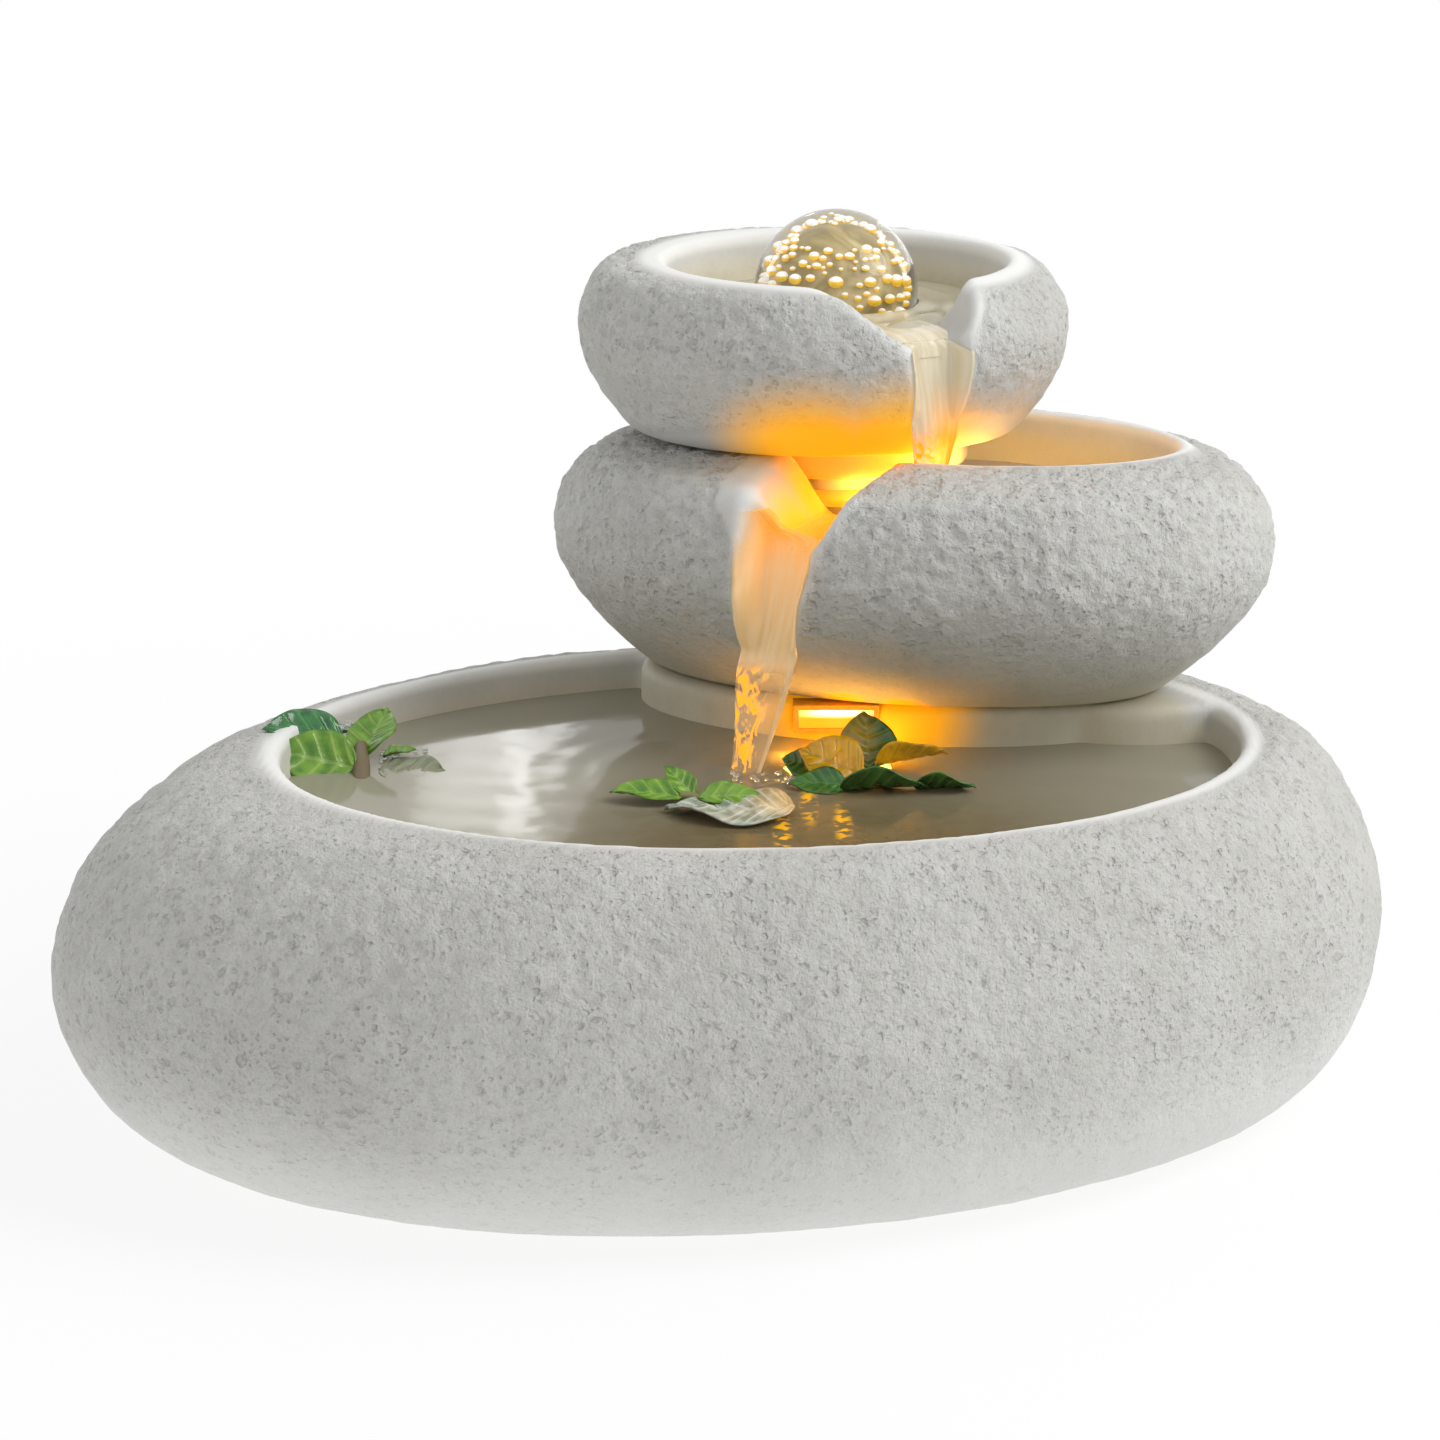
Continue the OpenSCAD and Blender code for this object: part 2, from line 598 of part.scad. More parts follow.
module volute_cover() {
  color("#24262a") difference() {
    union() {
      pump_slab(volute_x0, chamber_x1 - 0.05, 0);
      translate([way_x, way_y, pump_z]) cylinder(d = spigot_d, h = nipple_top - pump_z, $fn = 48);
    }
    difference() {
      on_pump_axis() rod_x(impeller_d + 2, chamber_x0, chamber_x1 + 1, 64);
      on_pump_axis() rod_x(bush_d + 2, chamber_x0 - 1, shaft_x0 + bush_l);
    }
    difference() {
      on_pump_axis() rod_x(11, volute_x0 - 1, chamber_x0 + 0.5);
      on_pump_axis() rod_x(bush_d + 2, volute_x0, chamber_x0 + 1);
      for (a = [0, 90]) on_pump_axis() rotate([a, 0, 0])
        translate([volute_x0, -6, -0.7]) cube([pump_wall, 12, 1.4]);
    }
    on_pump_axis() rod_x(bush_d, shaft_x0 - 0.01, chamber_x1, 32);
    translate([way_x, way_y, pump_z + impeller_d / 2 - 1])
      cylinder(d = way_d, h = nipple_top - pump_z, $fn = 48);
  }
}

module volute_seal() {
  color("#17181a") on_pump_axis() translate([seal_x, 0, 0]) rotate([0, 90, 0])
    rotate_extrude($fn = 64) translate([seal_r, 0]) circle(d = seal_d - 0.1, $fn = 24);
}

module pump_cover() {
  front = pump_wall;
  color("#1d1f22") difference() {
    pump_slab(cover_x0, volute_x0 - 0.1, 0);
    pump_slab(cover_x0 + front, volute_x0 + 1, pump_wall);
    for (i = [0:slot_count - 1]) let (y = (i - (slot_count - 1) / 2) * (pump_w - 7) / (slot_count - 1))
      if (abs(y) > dial_d / 2 + 1) on_pump_axis() translate([cover_x0 - 1, y - 0.8, -pump_h / 2 + 4])
        cube([front + 2, 1.6, pump_h - 8]);
    for (a = [0:3]) on_pump_axis() rotate([45 + a * 90, 0, 0]) translate([0, 0, dial_d / 2 - 2.6])
      rod_x(3, cover_x0 - 1, cover_x0 + front + 1, 24);
    on_pump_axis() rod_x(dial_pin_d + 2 * run_gap, cover_x0 - 1, cover_x0 + front + 1, 32);
  }
}

// A round shutter in front of the intake holes, turned by its tab
module flow_regulator() {
  color("#8f1f1c") on_pump_axis() difference() {
    union() {
      rod_x(dial_d, cover_x0 - 0.2 - dial_t, cover_x0 - 0.2);
      rod_x(dial_pin_d, cover_x0 - 0.3, cover_x0 + pump_wall + 1.4, 32);
      rod_x(dial_pin_d + 1.6, cover_x0 + pump_wall + 0.2, cover_x0 + pump_wall + 1.4, 32);
      translate([cover_x0 - 0.2 - dial_t, -1, 0]) cube([dial_t, 2, dial_d / 2 + 1.6]);
    }
    for (a = [0:3]) rotate([a * 90, 0, 0]) translate([0, 0, dial_d / 2 - 2.6])
      rod_x(2.8, cover_x0 - 1 - dial_t, cover_x0, 24);
  }
}

module suction_cups() {
  color("#2f3134") for (x = cup_xs, y = cup_ys) translate([x, y, 0]) difference() {
    union() {
      translate([0, 0, well_z]) cylinder(d1 = 9.6, d2 = 5, h = cups_h - 1, $fn = 40);
      translate([0, 0, pump_bottom - 1]) cylinder(d = 5, h = 1, $fn = 40);
      translate([0, 0, pump_bottom - 0.1]) cylinder(d = stud_d, h = 1.9, $fn = 32);
    }
    translate([0, 0, well_z - 6.2]) sphere(d = 15, $fn = 40);
  }
}

module riser_tube() {
  z0 = pump_bottom + pump_h + 0.2;
  color([0.85, 0.9, 0.92, 0.6]) translate([way_x, way_y, z0]) difference() {
    cylinder(d = tube_d, h = rim_z - z0, $fn = 48);
    translate([0, 0, -1]) cylinder(d = spigot_d + 2 * fit_gap, h = rim_z - z0 + 2, $fn = 48);
  }
}

// ---- Lamp under the middle bowl -------------------------------------------

module lamp_housing() {
  color("#6d6a64") difference() {
    translate([lamp_x - lamp_l / 2, lamp_y0, lamp_z0]) cube([lamp_l, lamp_depth, lamp_h]);
    translate([lamp_x - lamp_l / 2 + 1, lamp_y0 - 1, lamp_z0 + 1])
      cube([lamp_l - 2, lamp_depth, lamp_h - 2]);
    translate([lamp_wire_x, lamp_y0, lamp_wire_z]) rotate([-90, 0, 0])
      cylinder(d = wire_d + 0.2, h = lamp_depth + 1, $fn = 24);
  }
}

module lamp_board() {
  y1 = lamp_y0 + lamp_depth - 1;
  color("#e8e6dc") {
    translate([lamp_x - lamp_l / 2 + 1.1, y1 - board_t, lamp_z0 + 1.1])
      cube([lamp_l - 2.2, board_t, lamp_h - 2.2]);
    for (i = [0:lamp_diodes - 1])
      translate([lamp_x + (i - (lamp_diodes - 1) / 2) * (lamp_l - 4) / lamp_diodes - 1.4,
          y1 - board_t - 0.8, lamp_wire_z - 1.4]) cube([2.8, 0.9, 2.8]);
  }
}

module lamp_lens() {
  color([1, 0.93, 0.75, 0.6])
    translate([lamp_x - lamp_l / 2 + 1.1, lamp_y0 + 0.2, lamp_z0 + 1.1])
      cube([lamp_l - 2.2, lens_t, lamp_h - 2.2]);
}

// From the lamp's back through the block, then down into the pump's head
module lamp_wire() {
  color("#d8d5cc") {
    translate([lamp_wire_x, lamp_y0 + lamp_depth - 0.9, lamp_wire_z]) rotate([-90, 0, 0])
      cylinder(d = wire_d, h = lamp_wire_y - lamp_y0 - lamp_depth + 0.9, $fn = 24);
    translate([lamp_wire_x, lamp_wire_y, lamp_wire_z]) sphere(d = wire_d, $fn = 24);
    translate([lamp_wire_x, lamp_wire_y, pump_bottom + pump_h - pump_wall])
      cylinder(d = wire_d, h = lamp_wire_z - pump_bottom - pump_h + pump_wall, $fn = 24);
  }
}

// ---- Light's plug-in joint between the tiers ------------------------------

module light_socket() {
  z0 = pump_bottom + pump_h;
  color("#24262a") translate([puck_x, puck_y, 0]) difference() {
    translate([0, 0, z0]) cylinder(d = socket_d, h = rim_z - 0.5 - z0, $fn = 48);
    translate([0, 0, middle_z - plug_out - 0.4]) cylinder(d = plug_d + 2 * fit_gap, h = 20, $fn = 48);
    for (s = [-1, 1]) translate([s * pin_pitch / 2, 0, z0 + 0.6])
      cylinder(d = contact_d, h = 20, $fn = 24);
  }
}

module socket_contacts() {
  z0 = pump_bottom + pump_h + 0.6;
  color("#c9a253") for (s = [-1, 1]) translate([puck_x + s * pin_pitch / 2, puck_y, z0]) difference() {
    cylinder(d = contact_d - 0.04, h = middle_z - plug_out - 0.5 - z0, $fn = 24);
    translate([0, 0, 0.5]) cylinder(d = pin_d + 0.14, h = 20, $fn = 24);
  }
}

module light_plug() {
  color("#24262a") translate([puck_x, puck_y, middle_z - plug_out]) difference() {
    cylinder(d = plug_d, h = plug_out + plug_in - 0.1, $fn = 48);
    for (s = [-1, 1]) translate([s * pin_pitch / 2, 0, -1]) cylinder(d = pin_d + 0.04, h = 5, $fn = 24);
    translate([0, 0, plug_out + 1]) cylinder(d = wire_d + 0.1, h = 10, $fn = 24);
  }
}

module plug_pins() {
  color("#c9a253") for (s = [-1, 1])
    translate([puck_x + s * pin_pitch / 2, puck_y, middle_z - plug_out - 3.4])
      cylinder(d = pin_d, h = 7, $fn = 24);
}

// ---- Underwater light in the middle pool ----------------------------------

module puck_housing() {
  color("#77746d") translate([puck_x, puck_y, middle_floor_z]) difference() {
    union() {
      cylinder(d = puck_d, h = puck_h - 1, $fn = 64);
      translate([0, 0, puck_h - 1]) cylinder(d1 = puck_d, d2 = puck_d - 1.6, h = 1, $fn = 64);
    }
    translate([0, 0, puck_wall]) cylinder(d = puck_d - 2 * puck_wall, h = puck_h, $fn = 64);
    translate([0, 0, -1]) cylinder(d = wire_d + 0.2, h = puck_wall + 2, $fn = 24);
  }
}

module puck_board() {
  d = puck_d - 2 * puck_wall - 2 * fit_gap;
  color("#e8e6dc") translate([puck_x, puck_y, middle_floor_z + puck_wall + 0.8]) {
    cylinder(d = d, h = board_t, $fn = 48);
    for (a = [0:3]) rotate(45 + a * 90) translate([d / 4 - 1.4, -1.4, board_t - 0.05])
      cube([2.8, 2.8, 0.9]);
  }
}

module puck_lens() {
  color([1, 0.93, 0.75, 0.6]) translate([puck_x, puck_y, middle_floor_z + puck_h - lens_t - 0.4])
    cylinder(d = puck_d - 2 * puck_wall - 2 * fit_gap, h = lens_t, $fn = 64);
}

module puck_wire() {
  z0 = middle_z + 1.2;
  color("#d8d5cc") translate([puck_x, puck_y, z0])
    cylinder(d = wire_d, h = middle_floor_z + puck_wall + 0.7 - z0, $fn = 24);
}

// ---- Water way in the middle bowl and the top bowl -------------------------

module middle_pipe() {
  color("#9ea3a4") translate([way_x, way_y, 0]) difference() {
    union() {
      translate([0, 0, middle_z + 0.2]) cylinder(d = pipe_d, h = boss_top - middle_z - 0.2, $fn = 48);
      translate([0, 0, rim_z - tube_spigot_l]) cylinder(d = spigot_d, h = tube_spigot_l + 1, $fn = 48);
    }
    translate([0, 0, rim_z - tube_spigot_l - 1]) cylinder(d = way_d, h = middle_h + 10, $fn = 48);
    translate([0, 0, boss_top - socket_depth])
      cylinder(d = spigot_d + 2 * fit_gap, h = socket_depth + 1, $fn = 48);
  }
}

// Soft ring in the groove of the seat's spigot
module pipe_seal() {
  color("#17181a") translate([way_x, way_y, keel_z - spigot_l / 2]) rotate_extrude($fn = 64)
    translate([spigot_d / 2 - ring_d / 2 + 0.05, 0]) circle(d = ring_d - 0.1, $fn = 24);
}

module ball_seat() {
  color([0.86, 0.88, 0.88, 0.8]) translate([way_x, way_y, 0]) difference() {
    union() {
      translate([0, 0, keel_z - spigot_l]) cylinder(d = spigot_d, h = top_floor_z - keel_z + spigot_l + 1, $fn = 48);
      translate([0, 0, top_floor_z]) cylinder(d = cup_d, h = cup_top - top_floor_z, $fn = 64);
    }
    translate([0, 0, keel_z - spigot_l - 1]) cylinder(d = way_d, h = cup_top - keel_z + spigot_l + 2, $fn = 48);
    translate([0, 0, ball_z]) sphere(r = ball_d / 2 + ball_gap, $fn = 96);
    for (a = [0:2]) rotate(30 + a * 120) translate([0, -1.5, top_floor_z + 2]) cube([cup_d, 3, cup_d]);
    translate([0, 0, keel_z - spigot_l / 2]) rotate_extrude($fn = 64)
      translate([spigot_d / 2 - ring_d + 0.05, -ring_d / 2]) square([ring_d + 1, ring_d]);
  }
}

module glass_ball() {
  color([0.97, 0.98, 1, 0.5]) translate([way_x, way_y, ball_z]) sphere(d = ball_d, $fn = 96);
}

basin();
rubber_feet();
cord_grommet();
filter_sponge();
pump_housing();
pump_back();
stator_core();
stator_coil();
rotor_shaft();
shaft_bushes();
rotor_magnet();
impeller();
volute_cover();
volute_seal();
pump_cover();
flow_regulator();
suction_cups();
riser_tube();
lamp_housing();
lamp_board();
lamp_lens();
lamp_wire();
light_socket();
socket_contacts();
middle_bowl();
middle_pipe();
pipe_seal();
puck_housing();
puck_board();
puck_lens();
puck_wire();
light_plug();
plug_pins();
top_bowl();
ball_seat();
glass_ball();
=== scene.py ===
# %% [markdown]
# # A tabletop water fountain of three cast stone pebbles
# The construction comes ready made from CAD: basin, two bowls, pump, lights and a glass ball, each
# already in its place. This lesson dresses it. First we load that frame. The dressed model has to stay
# inside it. Everything is in metres, +Z is up and the spouts face -Y.

# %% Load the frame
import json
import math
import random

import bmesh
import bpy
import numpy as np
from mathutils import Matrix, Vector, kdtree
from mathutils.bvhtree import BVHTree

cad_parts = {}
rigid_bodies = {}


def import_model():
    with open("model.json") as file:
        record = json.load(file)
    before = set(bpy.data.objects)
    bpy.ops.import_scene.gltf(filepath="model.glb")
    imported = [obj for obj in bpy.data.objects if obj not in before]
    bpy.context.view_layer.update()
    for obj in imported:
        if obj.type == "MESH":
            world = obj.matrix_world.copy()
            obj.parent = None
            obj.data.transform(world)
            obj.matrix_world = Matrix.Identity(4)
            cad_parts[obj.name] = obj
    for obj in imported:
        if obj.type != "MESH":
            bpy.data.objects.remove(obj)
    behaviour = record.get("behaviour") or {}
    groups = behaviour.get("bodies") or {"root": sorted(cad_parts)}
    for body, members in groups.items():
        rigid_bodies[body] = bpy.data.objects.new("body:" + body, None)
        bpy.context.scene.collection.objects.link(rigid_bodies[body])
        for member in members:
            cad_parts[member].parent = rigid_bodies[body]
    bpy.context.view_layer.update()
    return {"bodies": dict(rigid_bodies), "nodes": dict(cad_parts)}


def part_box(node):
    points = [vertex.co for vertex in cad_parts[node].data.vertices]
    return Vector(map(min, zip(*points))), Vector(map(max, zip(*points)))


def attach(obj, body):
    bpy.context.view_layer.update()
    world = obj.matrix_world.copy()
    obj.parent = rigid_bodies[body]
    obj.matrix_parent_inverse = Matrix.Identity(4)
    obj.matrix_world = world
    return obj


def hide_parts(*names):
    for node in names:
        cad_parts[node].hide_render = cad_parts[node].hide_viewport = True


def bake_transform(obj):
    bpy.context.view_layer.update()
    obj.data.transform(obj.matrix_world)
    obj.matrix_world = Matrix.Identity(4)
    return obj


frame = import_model()
nodes = frame["nodes"]

# %% [markdown]
# ## Camera
# A long lens from about a metre away flattens the ovals, as a product photographer would want. The
# camera looks slightly down, so that the pools show. Depth of field stays off.

# %% Camera
MM = 0.001
CAMERA_LENS = 110.1
CAMERA_SENSOR = 36
CAMERA_SHIFT = (-0.0062, -0.0035)
CAMERA_DISTANCE = 0.9
CAMERA_ELEVATION = math.radians(16.05)
AIM = Vector((0, 0, 82 * MM))


def add_object(name, data):
    """A new object in the scene."""
    made = bpy.data.objects.new(name, data)
    bpy.context.scene.collection.objects.link(made)
    return made


def from_angles(azimuth, elevation, distance):
    """A point seen from AIM: azimuth 0 is the front, positive turns to the right."""
    flat = distance * math.cos(elevation)
    height = distance * math.sin(elevation)
    return AIM + Vector((flat * math.sin(azimuth), -flat * math.cos(azimuth), height))


def aim_at(obj, target):
    obj.rotation_euler = (target - obj.location).to_track_quat("-Z", "Y").to_euler()


camera_data = bpy.data.cameras.new("camera")
camera_data.lens = CAMERA_LENS
camera_data.sensor_width = CAMERA_SENSOR
camera_data.shift_x, camera_data.shift_y = CAMERA_SHIFT
camera = add_object("camera", camera_data)
camera.location = from_angles(0, CAMERA_ELEVATION, CAMERA_DISTANCE)
aim_at(camera, AIM)
bpy.context.scene.camera = camera
print("camera at", [round(v, 3) for v in camera.location])

# %% [markdown]
# ## Building blocks for materials
# Every material starts from the same few steps: a new node tree, a Principled BSDF, and links. Effects
# that several materials share become node groups with named sockets, so each material only sets values.
# A helper that is given the output of a node adds its own node to the same tree.

# %% Node helpers
def new_group(name, inputs, outputs):
    """A shader node group with float, vector or colour sockets. Returns (tree, its inputs, output node)."""
    kinds = {"f": "NodeSocketFloat", "v": "NodeSocketVector", "c": "NodeSocketColor"}
    tree = bpy.data.node_groups.new(name, "ShaderNodeTree")
    for label, kind, value in inputs:
        socket = tree.interface.new_socket(label, in_out="INPUT", socket_type=kinds[kind])
        if value is not None:
            socket.default_value = value
    for label, kind in outputs:
        tree.interface.new_socket(label, in_out="OUTPUT", socket_type=kinds[kind])
    return tree, tree.nodes.new("NodeGroupInput").outputs, tree.nodes.new("NodeGroupOutput")


def feed(socket, value):
    """Gives an input a value: the output of another node, a number, a vector or a colour."""
    if isinstance(value, bpy.types.NodeSocket):
        socket.id_data.links.new(value, socket)
    elif isinstance(value, tuple) and socket.type == "RGBA":
        socket.default_value = (*value, 1)[:4]
    else:
        socket.default_value = value


def wire(target, **values):
    """Feeds inputs of a node by name, where an underscore stands for a space."""
    for key, value in values.items():
        feed(target.inputs[key.replace("_", " ")], value)


def node(tree, kind, *values, **settings):
    """Adds a node. Values feed its inputs in order. A setting sets a property or feeds a named input."""
    made = tree.nodes.new(kind)
    for key, value in settings.items():
        if hasattr(made, key):
            setattr(made, key, value)
        else:
            wire(made, **{key: value})
    for socket, value in zip(made.inputs, values):
        feed(socket, value)
    return made


def tree_of(values):
    """The node tree of the first socket among some values."""
    return next(value.id_data for value in values if isinstance(value, bpy.types.NodeSocket))


def math_node(operation, *values):
    return node(tree_of(values), "ShaderNodeMath", *values, operation=operation).outputs[0]


def times(a, b):
    return math_node("MULTIPLY", a, b)


def times_plus(a, b, c):
    """a times b, plus c."""
    return math_node("MULTIPLY_ADD", a, b, c)


def larger(a, b):
    return math_node("MAXIMUM", a, b)


def vector_math(operation, *values):
    return node(tree_of(values), "ShaderNodeVectorMath", *values, operation=operation).outputs


def ramp(value, low, high, low_out=0.0, high_out=1.0):
    """Maps value from low..high to low_out..high_out, with soft ends."""
    made = node(value.id_data, "ShaderNodeMapRange", interpolation_type="SMOOTHSTEP", Value=value,
                From_Min=low, From_Max=high, To_Min=low_out, To_Max=high_out)
    return made.outputs["Result"]


def mix_colour(factor, a, b, blend="MIX"):
    """Mixes two colours, each a socket or a tuple."""
    made = node(factor.id_data, "ShaderNodeMix", data_type="RGBA", blend_type=blend)
    for slot, value in ((0, factor), (6, a), (7, b)):
        feed(made.inputs[slot], value)
    return made.outputs[2]


def noise(vector, scale, detail, **settings):
    settings.update(Vector=vector, Scale=scale, Detail=detail)
    return node(vector.id_data, "ShaderNodeTexNoise", **settings).outputs["Fac"]


def attribute(tree, name):
    """A vertex attribute that was written with the mesh."""
    return node(tree, "ShaderNodeAttribute", attribute_name=name).outputs["Fac"]


def axes(vector):
    """The X, Y and Z of a vector."""
    return node(vector.id_data, "ShaderNodeSeparateXYZ", vector).outputs


def object_coords(tree):
    return tree.nodes.new("ShaderNodeTexCoord").outputs["Object"]


def place_group(group, **values):
    """Places a node group. Returns its outputs."""
    return node(tree_of(values.values()), "ShaderNodeGroup", node_tree=group, **values).outputs


def bump(shader, height, strength, distance):
    """Turns a height into a normal for the shader."""
    made = node(height.id_data, "ShaderNodeBump", Strength=strength, Distance=distance, Height=height)
    wire(shader, Normal=made.outputs["Normal"])


def new_material(name, **values):
    """A material with a Principled BSDF. Returns (material, tree, shader)."""
    material = bpy.data.materials.new(name)
    material.use_nodes = True
    tree = material.node_tree
    shader = tree.nodes["Principled BSDF"]
    wire(shader, **values)
    return material, tree, shader


def dress(obj, material):
    """Gives an object one material, on every face."""
    obj.data.materials.clear()
    obj.data.materials.append(material)


# %% [markdown]
# ## Cast stone
# The pebbles are cast from a fine mortar in moulds taken from hammered stone. Outside they are pitted
# with short dimples and inside the pools and spouts they are smooth. The lips and bulging edges high up
# are painted almost white, a painted highlight. One group makes the grain: soft clouds of tone, specks,
# and two sizes of dimples that read as height and are painted a little darker, a painted shade. Four
# vertex attributes, made with the mesh, say where the stone is hammered (rough), where the painted
# highlight and painted light bounced up from the floor lie (lip), where it has a damp tan tint that also
# paints in fill light in the pools and low on the bowls, and where lamp light is painted on (glow).

# %% Stone grain group
def stone_grain_group():
    tree, inp, out = new_group(
        "stone_grain",
        [("Vector", "v", None), ("Rough", "f", 1.0), ("Light", "c", (0.6, 0.59, 0.56, 1)),
         ("Dark", "c", (0.42, 0.41, 0.38, 1)), ("Grain Size", "f", 1.0)],
        [("Color", "c"), ("Height", "f"), ("Roughness", "f")],
    )
    rough, dark = inp["Rough"], inp["Dark"]
    per_mm = math_node("DIVIDE", 1000.0, inp["Grain Size"])

    def texture(kind, per_millimetre, vector=None, **settings):
        scale = times(per_mm, per_millimetre)
        return node(tree, kind, Vector=vector or inp["Vector"], Scale=scale, **settings).outputs

    def grains(per_millimetre, detail, roughness):
        return texture("ShaderNodeTexNoise", per_millimetre, Detail=detail, Roughness=roughness)["Fac"]

    def by_rough(slope, least):
        """A share that grows with the roughness."""
        return times_plus(rough, slope, least)

    stir = texture("ShaderNodeTexNoise", 0.55, Detail=1.5)["Color"]

    def dimples(per_millimetre, sway, share):
        """Hollows of uneven outline, in a share of the cells of a stirred net."""
        push = vector_math("MULTIPLY_ADD", stir, (sway, sway, sway * 0.6), inp["Vector"])[0]
        cells = texture("ShaderNodeTexVoronoi", per_millimetre, push)
        chance = node(tree, "ShaderNodeSeparateColor", cells["Color"]).outputs
        chosen = ramp(chance[0], 1 - share, 1.02 - share)
        size = times_plus(chance[1], 0.24, 0.26)
        inside = math_node("DIVIDE", cells["Distance"], size)
        return times(ramp(inside, 0.2, 1.1, 1.0, 0.0), chosen)

    clouds = grains(0.035, 4.0, 0.62)
    patches = grains(0.1, 2.0, 0.6)
    crumbs = grains(0.5, 4.0, 0.7)
    grit = grains(1.9, 1.0, 0.6)
    where = times_plus(ramp(patches, 0.36, 0.6), 0.65, 0.35)
    large = times(dimples(0.36, 3.0 * MM, 0.55), where)
    small = times(dimples(0.75, 2.0 * MM, 0.6), where)
    pit = times(larger(large, times(small, 0.7)), rough)

    tone = times(ramp(clouds, 0.3, 0.7), 0.3)
    base = mix_colour(tone, inp["Light"], dark)
    mottle = times(ramp(crumbs, 0.46, 0.68), by_rough(0.2, 0.06))
    base = mix_colour(mottle, base, dark)
    fleck = times(ramp(grit, 0.56, 0.7), by_rough(0.12, 0.05))
    base = mix_colour(fleck, base, dark, "MULTIPLY")
    # Painted shade: the dimples are painted a little darker.
    base = mix_colour(times(pit, 0.2), base, dark, "MULTIPLY")

    grain = times(crumbs, by_rough(1.9, 0.08))
    grain = times_plus(grit, by_rough(0.16, 0.04), grain)
    wire(out, Color=base, Height=times_plus(pit, -0.9, grain), Roughness=by_rough(0.22, 0.62))
    return tree


STONE_GRAIN = stone_grain_group()
AMBER = (1.0, 0.47, 0.0)
LIT_GOLD = (1.0, 0.5, 0.0)


# %% Stone material
def stone_material(name, light, dark, painted_edge_highlight, damp_tint_and_fill):
    material, tree, shader = new_material(name, Specular_IOR_Level=0.3, Emission_Color=AMBER)
    rough, lip, damp_and_fill, glow = (attribute(tree, label) for label in ("rough", "lip", "damp_and_fill", "glow"))
    grain = place_group(STONE_GRAIN, Vector=object_coords(tree), Rough=rough, Light=light, Dark=dark)
    # Painted light: the lip mask paints a highlight and light bounced up from the floor, the damp mask a
    # damp tint that also paints in fill light, and the glow mask lamp light.
    base = mix_colour(times(lip, 0.85), grain["Color"], painted_edge_highlight)
    base = mix_colour(damp_and_fill, base, damp_tint_and_fill, "MULTIPLY")
    base = mix_colour(times(glow, 0.95), base, LIT_GOLD)
    wire(shader, Base_Color=base, Roughness=grain["Roughness"],
         Emission_Strength=times(glow, 0.3))
    bump(shader, grain["Height"], 1.0, 0.62 * MM)
    return material


# The third colour is the painted highlight, the fourth the damp tint, raised above one to paint in fill
# light.
stone = stone_material("cast_stone", (0.62, 0.616, 0.59), (0.38, 0.374, 0.34), (0.88, 0.88, 0.86),
                       (1.12, 1.06, 0.87))
print("stone groups:", [g.name for g in bpy.data.node_groups])

# %% [markdown]
# ## The plan of the bowls
# The smooth and the hammered zones follow the shape: inside the mouth of a pool and in the channel of
# a spout the stone is smooth. An oval in plan is a centre, two half axes and a turn. The spouts are
# strips along a direction. These few values repeat the ones the CAD model was drawn from.

# %% Ovals and spouts
class Oval:
    """An oval in plan, in metres and degrees."""

    def __init__(self, length, width, centre, turn):
        self.half = np.array([length, width]) / 2 * MM
        self.centre = np.array(centre) * MM
        self.turn = math.radians(turn)

    def local(self, xy):
        moved = np.asarray(xy)[..., :2] - self.centre
        c, s = math.cos(self.turn), math.sin(self.turn)
        return np.stack([moved[..., 0] * c + moved[..., 1] * s, moved[..., 1] * c - moved[..., 0] * s], -1)

    def outside(self, xy):
        """Rough distance outside the oval, negative inside."""
        radius = np.linalg.norm(self.local(xy) / self.half, axis=-1)
        return (radius - 1) * self.half.mean()

    def point(self, angle, share=1.0):
        """The point at an angle round the oval, at a share of the way from its centre to its edge."""
        x, y = self.half * share * (math.cos(angle), math.sin(angle))
        c, s = math.cos(self.turn), math.sin(self.turn)
        return self.centre[0] + x * c - y * s, self.centre[1] + x * s + y * c


class Spout:
    """A notch in a rim and the chute below it: an axis point and a direction in plan, the heights of
    the sill and of the chute's end, the chute's distance from the axis, half width, taper and shift,
    and how far the notch reaches to the left on its way up to the rim."""

    def __init__(self, axis, direction, sill_z, end_z, chute, half_width, taper, shift, notch):
        self.axis = np.array(axis) * MM
        angle = math.radians(direction)
        self.along = np.array([math.cos(angle), math.sin(angle)])
        self.across = np.array([-self.along[1], self.along[0]])
        self.sill_z = sill_z
        self.end_z = end_z
        self.chute = chute * MM
        self.half_width = half_width * MM
        self.taper = taper
        self.shift = shift * MM
        self.notch = notch

    def split(self, xy):
        moved = np.asarray(xy)[..., :2] - self.axis
        return moved @ self.across, moved @ self.along

    def sides(self, z):
        """The chute's left and right edge at a height, as distances across."""
        up = np.clip((z - self.end_z) / (self.sill_z - self.end_z), 0, 1)
        half = self.half_width * (1 - abs(self.taper) * (1 - up))
        centre = self.shift - math.copysign(1, self.taper) * (self.half_width - half)
        return centre - half, centre + half

    def notch_left(self, height):
        """The notch's left edge in millimetres, at a height above the sill."""
        floor_half, reach, depth = self.notch
        share = 0.5 - math.sin(math.asin(1 - 2 * height / depth) / 3)
        return -(floor_half + (reach - floor_half) * share)

    def at(self, across, along, z):
        x, y = self.axis + self.across * across + self.along * along
        return Vector((x, y, z))


